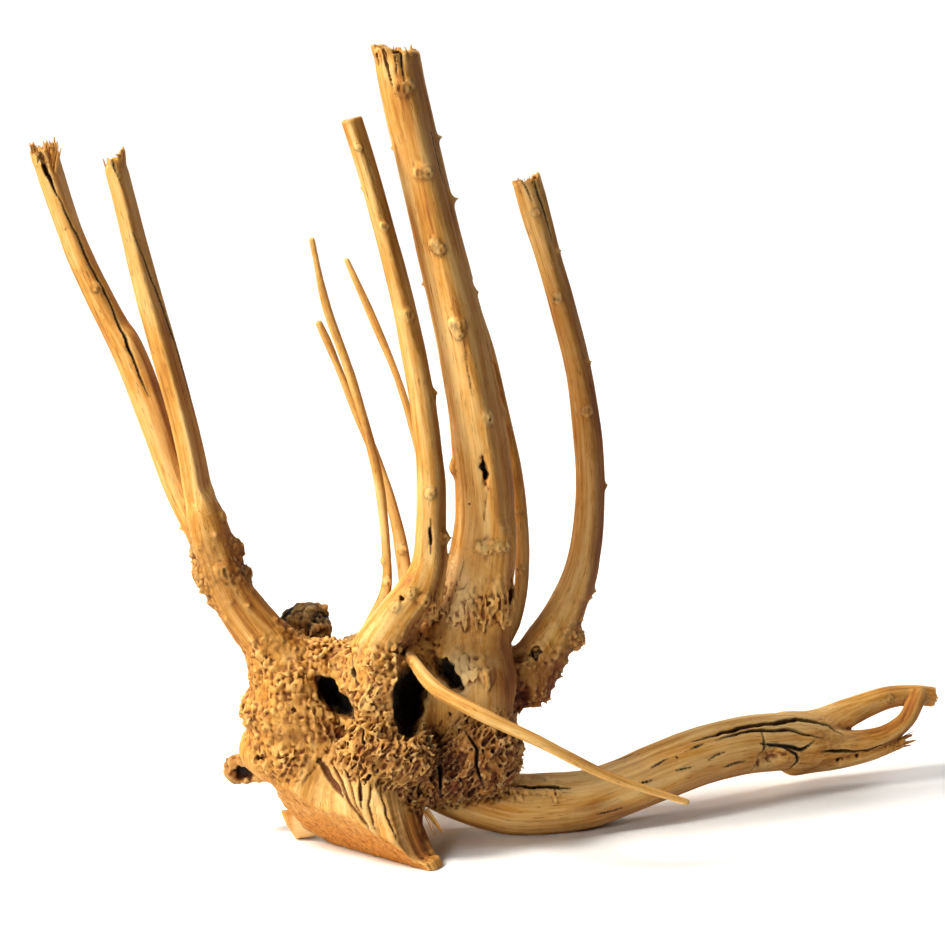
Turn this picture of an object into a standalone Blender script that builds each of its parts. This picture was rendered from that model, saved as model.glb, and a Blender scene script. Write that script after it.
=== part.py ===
"""A piece of driftwood: the dug-up root crown of a shrub, with its cut stems, twigs and one long root.

Blender 4.5, metres, +Z up. The origin is the centre of the bounding box's base, +X runs along the long
root and -Y is the side with the free twig. The wood grew as one piece, so it is one solid.

Routes and sizes below are in millimetres, and MM turns them into metres.
"""

import math

import bmesh
import bpy
from mathutils import Matrix, Vector, noise

MM = 0.001
ORIGIN = Vector((-1.6, 0.5, 0.0))    # where the origin lies among the routes' coordinates

# Driving dimensions, in millimetres.
VOXEL = 1.6              # cell size at which the limbs and the crown grow together
BLEND_PASSES = 7         # smoothing passes that round the crotches between limbs
KNOB_HEIGHT = 6.0        # how far the crown's burl knobs stand out
KNOB_SPACING = 11.0      # from one knob to the next
BURL_MIDDLE = (-60.0, -34.0, 56.0)
BURL_REACH = 66.0        # how far the burl spreads from its middle
BURL_TOP = 104.0         # the stems are smooth above this height
BURL_BASE = 34.0         # and the feet are smooth below this one
BODY_TRIANGLES = 6600    # triangles kept in the body before the twigs join it
REST_HEIGHT = 0.0        # the feet are worn flat at this height

# Each limb is a route of (x, y, z, radius) points. The first lies inside the crown or the limb it left.
LIMBS = {
    "left_stem": [
        (-84, -32, 60, 16.0), (-99, -36, 81, 13.4), (-108, -37, 95, 11.6), (-118, -37, 109, 10.4),
        (-125, -36, 122, 9.9), (-130, -35, 138, 9.0), (-133, -35, 149, 7.6),
    ],
    "left_front_branch": [
        (-128, -35, 132, 8.0), (-134, -35, 152, 7.2), (-138, -35, 176, 6.5), (-144, -33, 202, 6.2),
        (-151, -31, 228, 6.0), (-158, -29, 254, 5.8), (-164, -28, 280, 5.6), (-170, -27, 305, 5.3),
    ],
    "left_back_branch": [
        (-128, -32, 124, 7.0), (-137, -28, 142, 6.0), (-146, -23, 160, 6.0), (-155, -19, 186, 6.3),
        (-165, -13, 212, 6.7), (-178, -9, 238, 6.0), (-190, -5, 264, 5.6), (-199, -1, 290, 6.2),
        (-204, 1, 306, 6.8),
    ],
    "second_stem": [
        (-60, -46, 76, 15.0), (-56, -46, 90, 12.5), (-49, -44, 103, 10.4), (-41, -41, 114, 9.6),
        (-35, -38, 126, 8.2), (-34, -36, 144, 6.7), (-34, -33, 168, 6.2), (-37, -30, 194, 5.6),
        (-43, -27, 227, 5.1), (-49, -25, 254, 5.0), (-59, -22, 292, 4.8), (-68, -20, 321, 4.8),
    ],
    "trunk": [
        (-19, -20, 50, 18.0), (-17, -19, 74, 17.8), (-15, -18, 100, 16.4), (-12, -17, 118, 15.0),
        (-10, -17, 145, 13.7), (-12, -17, 172, 13.1), (-16, -17, 199, 12.4), (-21, -16, 226, 11.9),
        (-27, -15, 252, 11.0), (-36, -13, 290, 10.5), (-45, -11, 330, 10.4), (-49, -11, 350, 10.4),
    ],
    "right_limb": [
        (-10, -8, 60, 12.0), (4, -5, 68, 12.5), (14, -3, 77, 11.6), (22, -1, 89, 9.8), (28, 2, 101, 8.4),
        (33, 4, 115, 7.4), (36, 6, 133, 7.0), (37, 7, 155, 6.7), (35, 9, 181, 6.7), (31, 11, 207, 6.2),
        (24, 13, 234, 6.2), (16, 15, 262, 6.3), (8, 17, 290, 6.6),
    ],
    "long_root": [
        (-42, -26, 34, 15.0), (-22, -25, 22, 14.0), (0, -22, 14, 14.0), (18, -18, 12.5, 14.2),
        (36, -13, 13, 13.4), (53, -6, 16.5, 13.0), (69, 3, 20.5, 13.4), (88, 15, 24, 13.6),
        (108, 27, 25.5, 13.6), (127, 39, 24, 13.4), (138, 45, 22.5, 12.4), (148, 51, 22, 8.0),
    ],
    "root_upper_fork": [
        (132, 45, 25, 11.0), (147, 54, 27, 8.4), (160, 61, 31, 6.6), (172, 67, 34.5, 5.6),
        (183, 72, 36.5, 5.2), (195, 77, 36, 4.8), (206, 81, 34, 4.8),
    ],
    "root_lower_fork": [
        (134, 42, 18, 9.0), (150, 48, 20, 7.4), (164, 52, 20, 5.2), (178, 56, 22, 4.4),
        (189, 62, 28, 4.0), (195, 72, 36, 4.0),
    ],
    "root_splinter": [(134, 42, 14, 6.5), (152, 50, 11, 4.0), (170, 54, 13, 2.8), (187, 58, 18, 2.4)],
    "foot": [(-55, -46, 42, 16.0), (-52, -58, 26, 13.5), (-49, -67, 13, 11.0), (-41, -72, 0, 9.5)],
    "foot_middle": [(-64, -44, 42, 17.0), (-66, -56, 26, 14.5), (-63, -64, 12, 12.5), (-58, -68, 0, 12.0)],
    "foot_left": [(-80, -42, 46, 17.0), (-86, -46, 32, 15.0), (-88, -48, 18, 14.0), (-82, -50, 4, 13.0)],
    "back_root": [(-44, -4, 42, 14.0), (-37, 14, 26, 10.5), (-27, 27, 13, 8.6), (-18, 37, 5, 7.4)],
    "back_root_stub": [(-76, -8, 52, 13.0), (-88, 8, 40, 8.6), (-96, 19, 34, 7.2)],
    "hollow_root": [(-98, -30, 38, 9.0), (-109, -27, 33, 7.0), (-117, -25, 31, 6.6), (-125, -22, 30, 7.2)],
}

# The rounded masses of the crown: centre and half sizes.
LUMPS = {
    "core": ((-64, -30, 52), (32, 22, 30)),
    "left_lobe": ((-95, -38, 62), (23, 22, 26)),
    "left_shoulder": ((-100, -36, 84), (14, 13, 13)),
    "left_low_lobe": ((-96, -40, 44), (23, 19, 16)),
    "saddle": ((-76, -34, 78), (16, 18, 14)),
    "middle_lobe": ((-57, -48, 72), (16, 17, 24)),
    "middle_low_lobe": ((-54, -50, 46), (22, 18, 17)),
    "right_neck": ((-16, -24, 66), (19, 19, 24)),
    "right_lobe": ((-13, -33, 42), (19, 21, 20)),
    "right_low_lobe": ((-30, -36, 32), (16, 18, 14)),
    "back_mass": ((-50, -10, 58), (44, 22, 34)),
    "back_bulge": ((-20, 0, 50), (24, 18, 26)),
    "bark_mass": ((-91, -14, 90), (12.5, 12, 13)),
    "limb_burl": ((10, -5, 67), (11, 12, 12)),
    "neck_burl": ((-39, -18, 84), (10, 10, 12)),
}

# Thorny knobs on the left stem and buds on the rest: (x, y, z, radius).
NUBS = [
    (-137, -36, 115, 4.6), (-133, -38, 124, 3.2), (-139, -34, 137, 2.6), (-129, -38, 103, 2.6),
    (-115, -40, 127, 4.2), (-110, -40, 118, 3.6), (-125, -38, 140, 2.6), (-114, -47, 117, 2.6),
]

# Thin twigs, joined after the rest.
TWIGS = {
    "fine_twig": [
        (-66, -42, 90, 3.4), (-60, -40, 102, 2.9), (-54, -35, 116, 2.4), (-54, -31, 134, 2.2),
        (-57, -26, 161, 2.1), (-63, -22, 187, 2.0), (-71, -19, 213, 1.9), (-80, -16, 239, 1.7),
        (-86, -13, 267, 1.4),
    ],
    "middle_twig": [
        (-45, -34, 98, 3.8), (-45, -24, 113, 3.3), (-49, -14, 138, 2.7), (-57, -8, 164, 2.2),
        (-68, -3, 190, 1.8), (-79, 3, 216, 1.6), (-84, 5, 227, 1.3),
    ],
    "back_twig": [
        (-24, -20, 100, 3.0), (-28, -16, 122, 2.2), (-34, -11, 146, 1.8), (-41, -4, 176, 1.6),
        (-49, 3, 202, 1.6), (-60, 9, 228, 1.5), (-72, 15, 254, 1.1),
    ],
    "back_branch": [
        (-8, -6, 74, 4.6), (1, -1, 88, 3.6), (6, 3, 108, 3.2), (6, 5, 132, 3.2), (3, 7, 160, 3.0),
        (-3, 8, 190, 2.6), (-9, 9, 216, 2.2), (-16, 9, 238, 1.8),
    ],
    "free_twig": [
        (-44, -24, 76, 3.4), (-46, -46, 88, 2.9), (-41, -56, 87, 2.9), (-31, -68, 79, 3.0),
        (-16, -77, 73, 3.0), (-3, -80, 67, 2.9), (12, -81, 60, 2.6), (26, -79, 52, 2.3),
        (40, -76, 44, 1.9), (56, -73, 37, 1.6), (77, -69, 29, 1.1),
    ],
    "pale_stub": [
        (-60, -28, 32, 9.0), (-72, -30, 18, 8.0), (-84, -31, 10, 7.4), (-94, -30, 7, 7.2),
        (-102, -29, 6.5, 6.4),
    ],
}

# Hollows: centre, half sizes and the turn about Y, in degrees.
HOLLOWS = {
    "rot_hole": ((-76, -60, 72), (10, 22, 6), 40),
    "crotch_pocket": ((-42, -52, 75), (7, 24, 15), 8),
    "root_end_hollow": ((-124, -21, 28.5), (5, 3.5, 3.5), 0),
    "trunk_slot": ((-9, -30, 168), (2, 6, 10), -8),
}

# The sawn face under the foot: a point on it, and the way it faces.
SAWN_POINT = (-71, -60, 8.5)
SAWN_NORMAL = (-0.58, -0.46, -0.67)
CUTTER_SIZE = 400.0


def clear_scene():
    """Empty the startup scene."""
    for obj in list(bpy.data.objects):
        bpy.data.objects.remove(obj)


def collection(name):
    """A new collection in the scene."""
    made = bpy.data.collections.new(name)
    bpy.context.scene.collection.children.link(made)
    return made


def add_object(name, mesh, home):
    """A mesh object in a collection."""
    obj = bpy.data.objects.new(name, mesh)
    home.objects.link(obj)
    return obj


def evaluated_mesh(obj):
    """The object's mesh with its modifiers applied."""
    graph = bpy.context.evaluated_depsgraph_get()
    return bpy.data.meshes.new_from_object(obj.evaluated_get(graph), depsgraph=graph)


def swept_limb(name, route, home, steps=6, roundness=4):
    """A tapering limb: a smooth curve through the route, round in section, with closed ends."""
    curve = bpy.data.curves.new(name, "CURVE")
    curve.dimensions = "3D"
    curve.resolution_u = steps
    curve.bevel_depth = MM
    curve.bevel_resolution = roundness
    curve.use_fill_caps = True
    spline = curve.splines.new("BEZIER")
    spline.bezier_points.add(len(route) - 1)
    for point, (x, y, z, radius) in zip(spline.bezier_points, route):
        point.co = (Vector((x, y, z)) - ORIGIN) * MM
        point.radius = radius
        point.handle_left_type = point.handle_right_type = "AUTO"
    bent = add_object(name + "_curve", curve, home)
    mesh = evaluated_mesh(bent)
    bpy.data.objects.remove(bent)
    shape = bmesh.new()
    shape.from_mesh(mesh)
    bmesh.ops.remove_doubles(shape, verts=shape.verts, dist=0.00001)
    bmesh.ops.recalc_face_normals(shape, faces=shape.faces)
    shape.to_mesh(mesh)
    shape.free()
    return add_object(name, mesh, home)


def ellipsoid(name, centre, half_sizes, home, turn=0.0):
    """A ball stretched to three half sizes, turned about Y and moved to its centre."""
    place = (
        Matrix.Translation((Vector(centre) - ORIGIN) * MM)
        @ Matrix.Rotation(math.radians(turn), 4, "Y")
        @ Matrix.Diagonal([size * MM for size in half_sizes] + [1.0])
    )
    mesh = bpy.data.meshes.new(name)
    shape = bmesh.new()
    bmesh.ops.create_uvsphere(shape, u_segments=20, v_segments=12, radius=1.0, matrix=place)
    shape.to_mesh(mesh)
    shape.free()
    return add_object(name, mesh, home)


def block(name, point, normal, home):
    """A big block whose near face lies in the plane through point, on the side that normal points to."""
    facing = Vector(normal).normalized()
    turn = facing.to_track_quat("Z", "Y").to_matrix().to_4x4()
    centre = Vector(point) - ORIGIN + facing * CUTTER_SIZE / 2
    mesh = bpy.data.meshes.new(name)
    shape = bmesh.new()
    bmesh.ops.create_cube(shape, size=CUTTER_SIZE * MM, matrix=Matrix.Translation(centre * MM) @ turn)
    shape.to_mesh(mesh)
    shape.free()
    return add_object(name, mesh, home)


def joined(name, objects, home):
    """One object holding the meshes of several, which are removed."""
    shape = bmesh.new()
    for obj in objects:
        shape.from_mesh(obj.data)
        bpy.data.objects.remove(obj)
    mesh = bpy.data.meshes.new(name)
    shape.to_mesh(mesh)
    shape.free()
    return add_object(name, mesh, home)


def grow_together(obj):
    """Turn overlapping shells into one skin, and round the creases where they meet."""
    remesh = obj.modifiers.new("one_skin", "REMESH")
    remesh.mode = "VOXEL"
    remesh.voxel_size = VOXEL * MM
    smooth = obj.modifiers.new("round_crotches", "SMOOTH")
    smooth.factor = 0.5
    smooth.iterations = BLEND_PASSES
    obj.data = evaluated_mesh(obj)
    obj.modifiers.clear()


def rising(value, start, end):
    """0 below start, 1 above end, and a straight ramp between."""
    return max(0.0, min(1.0, (value - start) / (end - start)))


def burl(obj):
    """Raise knobs on the crown, one in each cell of a Worley pattern, fading out along the limbs."""
    middle = Vector(BURL_MIDDLE)
    moves = []
    for vertex in obj.data.vertices:
        place = vertex.co / MM + ORIGIN
        strength = rising(BURL_REACH - (place - middle).length, 0.0, 20.0)
        strength *= rising(BURL_TOP - place.z, 0.0, 16.0) * rising(place.z, BURL_BASE - 12.0, BURL_BASE)
        if strength > 0.0:
            nearest = noise.voronoi(place / KNOB_SPACING)[0][0]
            moves.append((vertex, vertex.normal * (0.55 - nearest) * KNOB_HEIGHT * strength * MM))
    for vertex, move in moves:
        vertex.co += move
    obj.data.update()


def thin_out(obj, triangles):
    """Merge the smallest faces until about this many triangles are left."""
    obj.data.calc_loop_triangles()
    decimate = obj.modifiers.new("thin_out", "DECIMATE")
    decimate.ratio = triangles / len(obj.data.loop_triangles)
    obj.data = evaluated_mesh(obj)
    obj.modifiers.clear()


def combine(obj, tool, operation):
    """Cut a tool's shape from the wood, or join it on. The tool itself is only a guide."""
    tool.hide_render = True
    tool.display_type = "WIRE"
    boolean = obj.modifiers.new(tool.name, "BOOLEAN")
    boolean.operation = operation
    boolean.solver = "EXACT"
    boolean.object = tool


def bare_wood():
    """Weathered wood without its bark, warm tan and dull."""
    material = bpy.data.materials.new("bare_wood")
    material.use_nodes = True
    shader = material.node_tree.nodes["Principled BSDF"]
    shader.inputs["Base Color"].default_value = (0.62, 0.40, 0.17, 1.0)
    shader.inputs["Roughness"].default_value = 0.7
    shader.inputs["Metallic"].default_value = 0.0
    return material


def main():
    """Build the driftwood."""
    clear_scene()
    wood = collection("driftwood_parts")
    tools = collection("cutters")

    # The crown's masses and the thick limbs, grown together, knobbed and thinned out.
    shapes = [swept_limb(name, route, wood) for name, route in LIMBS.items()]
    shapes += [ellipsoid(name, centre, sizes, wood) for name, (centre, sizes) in LUMPS.items()]
    shapes += [ellipsoid("nub", (x, y, z), (r, r, r), wood) for x, y, z, r in NUBS]
    driftwood = joined("driftwood", shapes, wood)
    grow_together(driftwood)
    burl(driftwood)
    thin_out(driftwood, BODY_TRIANGLES)

    # The hollows and the sawn face, then the thin twigs, and last the flats that it stands on.
    for name, (centre, sizes, turn) in HOLLOWS.items():
        combine(driftwood, ellipsoid(name, centre, sizes, tools, turn), "DIFFERENCE")
    combine(driftwood, block("sawn_face", SAWN_POINT, SAWN_NORMAL, tools), "DIFFERENCE")
    for name, route in TWIGS.items():
        combine(driftwood, swept_limb(name, route, tools, steps=3, roundness=2), "UNION")
    combine(driftwood, block("floor", (0, 0, REST_HEIGHT), (0, 0, -1), tools), "DIFFERENCE")

    driftwood.data.materials.append(bare_wood())
    driftwood.data.shade_smooth()
    driftwood.data.set_sharp_from_angle(angle=math.radians(50))


main()
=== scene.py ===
"""A piece of driftwood: a bleached root crown with its stems, twigs and one long root.

The wood is one skin, worked out from rounded limbs and lumps that melt into each other.
Burls, knots, splits and broken ends are raised or cut into it, and fine hairs of torn
fibre are added where the ends are frayed.
"""
import sys
import logging
import math
from collections.abc import Iterator
from dataclasses import dataclass, field
from enum import Enum

import bmesh
import bpy
import numpy as np
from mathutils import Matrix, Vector


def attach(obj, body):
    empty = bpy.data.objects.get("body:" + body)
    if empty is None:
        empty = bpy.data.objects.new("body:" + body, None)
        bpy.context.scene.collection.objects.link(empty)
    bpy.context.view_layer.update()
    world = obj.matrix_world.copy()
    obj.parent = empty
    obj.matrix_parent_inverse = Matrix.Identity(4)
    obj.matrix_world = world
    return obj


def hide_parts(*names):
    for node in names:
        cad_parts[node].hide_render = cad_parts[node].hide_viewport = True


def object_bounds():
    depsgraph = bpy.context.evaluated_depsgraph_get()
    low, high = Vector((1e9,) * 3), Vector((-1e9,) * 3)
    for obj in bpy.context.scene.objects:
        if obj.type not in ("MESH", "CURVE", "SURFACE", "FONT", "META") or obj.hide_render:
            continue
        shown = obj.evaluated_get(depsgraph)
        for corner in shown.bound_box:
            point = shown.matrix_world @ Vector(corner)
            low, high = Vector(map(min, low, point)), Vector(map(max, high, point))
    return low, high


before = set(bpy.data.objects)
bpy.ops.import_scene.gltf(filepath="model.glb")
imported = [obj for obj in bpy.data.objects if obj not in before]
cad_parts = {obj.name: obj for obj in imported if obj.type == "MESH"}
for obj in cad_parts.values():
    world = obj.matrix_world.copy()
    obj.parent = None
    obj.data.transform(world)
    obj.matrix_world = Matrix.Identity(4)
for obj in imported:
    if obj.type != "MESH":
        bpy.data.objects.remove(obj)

log = logging.getLogger("driftwood")
Array = np.ndarray

CAD_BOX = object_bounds()            # the box that the visual model stays inside
MM = 0.001                       # metres in a millimetre
ORIGIN = (-1.6, 0.5, 0.0)        # centre of the foot print on the measured axes, mm
CELL = 0.66   # side of a cell of the skin's grid, mm
SUB = 8                          # cells along a small block of the grid
TILE = 4                         # small blocks along a tile
SKIN_DEPTH = 4.4                 # depth either side of the body that detail can reach, mm
CRUMB = 0.002                    # a part of the skin below this share of it is a crumb
PAINTED_SHADE_SIDE = (0.86, 0.1, -0.5)     # the way the side turned from the key lamp faces, painted browner as shade
PAINTED_SHADE_BROWN = 0.56                 # how much browner that side is painted, as shade
RELIEF_SHARES = {1: 1.0, 5: 0.6}   # share of the relief seen over so many rings of points
GRID_ROOM = ((14, 7, 3), (14, 7, 12))   # room for the grid past the CAD box's low and high corners, mm
FIBRE_RINGS = 7                  # rings of points along a loose fibre
FIBRE_SIDES = 5                  # sides of a loose fibre
COLOUR_OUTPUT = 2                # place of the colour among a mixing node's outputs
SUM = {"operation": "ADD"}
PRODUCT = {"operation": "MULTIPLY"}
CLAMPED = {"operation": "MULTIPLY", "use_clamp": True}
GREATER = {"operation": "MAXIMUM"}
MIXED = {"data_type": "RGBA", "blend_type": "MIX", "clamp_factor": True}
MULTIPLIED = {**MIXED, "blend_type": "MULTIPLY"}
FAR = 99.0                       # a distance that stands for "nowhere near", mm


# ---------------------------------------------------------------- numbers and noise


def smooth_union(a: Array, b: Array, reach: float) -> Array:
    """Smaller of two distances, with a fillet where they are within reach of each other.

    Args:
        a: Distances to the first shape, mm.
        b: Distances to the second shape, mm.
        reach: How near the two distances are where the fillet starts, mm.

    Returns:
        The joined distance: min(a, b) less a quarter of reach times overlap squared.
    """
    overlap = np.maximum(reach - np.abs(a - b), 0.0) / reach
    return np.minimum(a, b) - overlap * overlap * (reach * 0.25)


def smooth_cut(a: Array, b: Array, reach: float) -> Array:
    """Greater of two distances with a rounded edge, which cuts away where b is positive.

    Args:
        a: Distances to the shape, mm.
        b: Distances past the cutting surface, mm.
        reach: Size of the rounded edge, mm.

    Returns:
        The cut distance.
    """
    overlap = np.maximum(reach - np.abs(a - b), 0.0) / reach
    return np.maximum(a, b) + overlap * overlap * (reach * 0.25)


def ramp(value: Array, low: float, high: float) -> Array:
    """Smooth step of value from 0 at low to 1 at high, which may be the smaller number."""
    t = np.clip((value - low) / (high - low), 0.0, 1.0)
    return t * t * (3.0 - 2.0 * t)


class Noise:
    """Seeded smooth noise and scattered bumps, from tables that repeat every 32 cells."""

    SIZE = 32

    def __init__(self, seed: int) -> None:
        """Draws the tables.

        Args:
            seed: Seed of the random draws.
        """
        rng = np.random.default_rng(seed)
        count = self.SIZE ** 3
        self.values = rng.random(count, dtype=np.float32)
        self.shift = 0.15 + 0.7 * rng.random((count, 3), dtype=np.float32)

    def index(self, x: Array, y: Array, z: Array) -> Array:
        """Place in the tables of the lattice cells x, y, z."""
        m = self.SIZE - 1
        return ((x & m) * self.SIZE + (y & m)) * self.SIZE + (z & m)

    def smooth(self, p: Array) -> Array:
        """Value noise: the eight corner values of each cell, blended by smooth steps.

        Args:
            p: Points in cells, N x 3.

        Returns:
            Noise from -1 to 1.
        """
        base = np.floor(p).astype(np.int32)
        f = p - base
        f = f * f * (3.0 - 2.0 * f)
        g = 1.0 - f
        total = np.zeros(len(p), np.float32)
        for i in (0, 1):
            for j in (0, 1):
                wij = (f if i else g)[:, 0] * (f if j else g)[:, 1]
                for k in (0, 1):
                    at = self.index(base[:, 0] + i, base[:, 1] + j, base[:, 2] + k)
                    total += wij * (f if k else g)[:, 2] * self.values[at]
        return total * 2.0 - 1.0

    def around(self, p: Array) -> Iterator[tuple[Array, Array]]:
        """Goes round the eight cells whose scattered points can be nearest.

        Args:
            p: Points in cells, N x 3.

        Yields:
            The way from each point to the scattered point, and its place in the tables.
        """
        base = np.floor(p - 0.5).astype(np.int32)
        for corner in np.ndindex(2, 2, 2):
            cell = base + np.array(corner, np.int32)
            at = self.index(cell[:, 0], cell[:, 1], cell[:, 2])
            yield cell + self.shift[at] - p, at

    def nearest(self, p: Array) -> tuple[Array, Array, Array]:
        """Distances to the two nearest scattered points, and the nearest one's own number.

        Args:
            p: Points in cells, N x 3.

        Returns:
            First distance, second distance, and a number from 0 to 1.
        """
        first = np.full(len(p), 9.0, np.float32)
        second = first.copy()
        tone = np.zeros(len(p), np.float32)
        for q, at in self.around(p):
            d = np.einsum("ij,ij->i", q, q)
            near = d < first
            second = np.where(near, first, np.minimum(second, d))
            tone = np.where(near, self.values[at], tone)
            first = np.where(near, d, first)
        return np.sqrt(first), np.sqrt(second), tone

    def ridges(self, p: Array) -> Array:
        """Winding ridges, 0 to 1: one where the smooth noise crosses nought."""
        return np.maximum(1.0 - 2.6 * np.abs(self.smooth(p)), 0.0)

    def bumps(self, p: Array, sharp: float, spread: float = 0.6) -> Array:
        """Scattered bumps of random height: one less distance over radius, to a power.

        Args:
            p: Points in cells, N x 3.
            sharp: The power: under 2 gives pointed nubs, 2 and over round beads.
            spread: Radius of the largest bump, in cells, at most 0.64.

        Returns:
            Height of the highest bump at each point, 0 to 1.
        """
        top = np.zeros(len(p), np.float32)
        for q, at in self.around(p):
            size = 0.35 + 0.65 * self.values[at]
            away = np.sqrt(np.einsum("ij,ij->i", q, q)) / (spread * (0.55 + 0.45 * size))
            if sharp < 2.0:
                h = np.maximum(1.0 - away, 0.0) ** sharp
            else:
                h = np.maximum(1.0 - away * away, 0.0) ** (sharp * 0.5)
            top = np.maximum(top, h * size)
        return top


NOISE = Noise(7)
OTHER_NOISE = Noise(31)


# ---------------------------------------------------------------- what the wood is made of


class End(Enum):
    """How a limb ends."""

    ROUND = "worn round"
    SAWN = "cut clean across"
    JAGGED = "snapped, with steps"
    FRAYED = "torn into fibres"


class Skin(Enum):
    """What the surface of a patch of the crown is like."""

    THORNS = "pointed nubs on smoother wood"
    BEADS = "dense winding beads"
    DRIPS = "nubs drawn out downwards"
    BARK = "dark blocky bark"
    PORES = "small deep pits"


class Mark(Enum):
    """What a single mark on a limb is."""

    BUD = "low round knot with a pit"
    EYE = "knot split by two slits"
    SPIKE = "pointed spur"
    BURR = "cluster of thorns"
    PIT = "small hole"


@dataclass(frozen=True)
class Flat:
    """A face along a limb that is worn or split flat.

    Attributes:
        angle: Where it faces, degrees from the front, positive to the right.
        depth: Distance of the flat from the axis, as a part of the radius.
        start: Where it starts along the limb, 0 to 1.
        stop: Where it stops along the limb, 0 to 1.
        edge: Roundness of its edges, mm.
    """

    angle: float
    depth: float
    start: float = 0.0
    stop: float = 1.0
    edge: float = 1.6


@dataclass(frozen=True)
class Tip:
    """How a limb's far end is broken or cut.

    Attributes:
        kind: What the break is like.
        rise: Height of the steps or fibres, mm.
        width: Width of a step or fibre, mm.
        lean_across: Rise of the break for each mm to the right.
        lean_front: Rise of the break for each mm to the front.
        cup: How far the middle is broken deeper than the rim, mm.
    """

    kind: End
    rise: float = 1.0
    width: float = 2.0
    lean_across: float = 0.0
    lean_front: float = 0.0
    cup: float = 0.0


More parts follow.
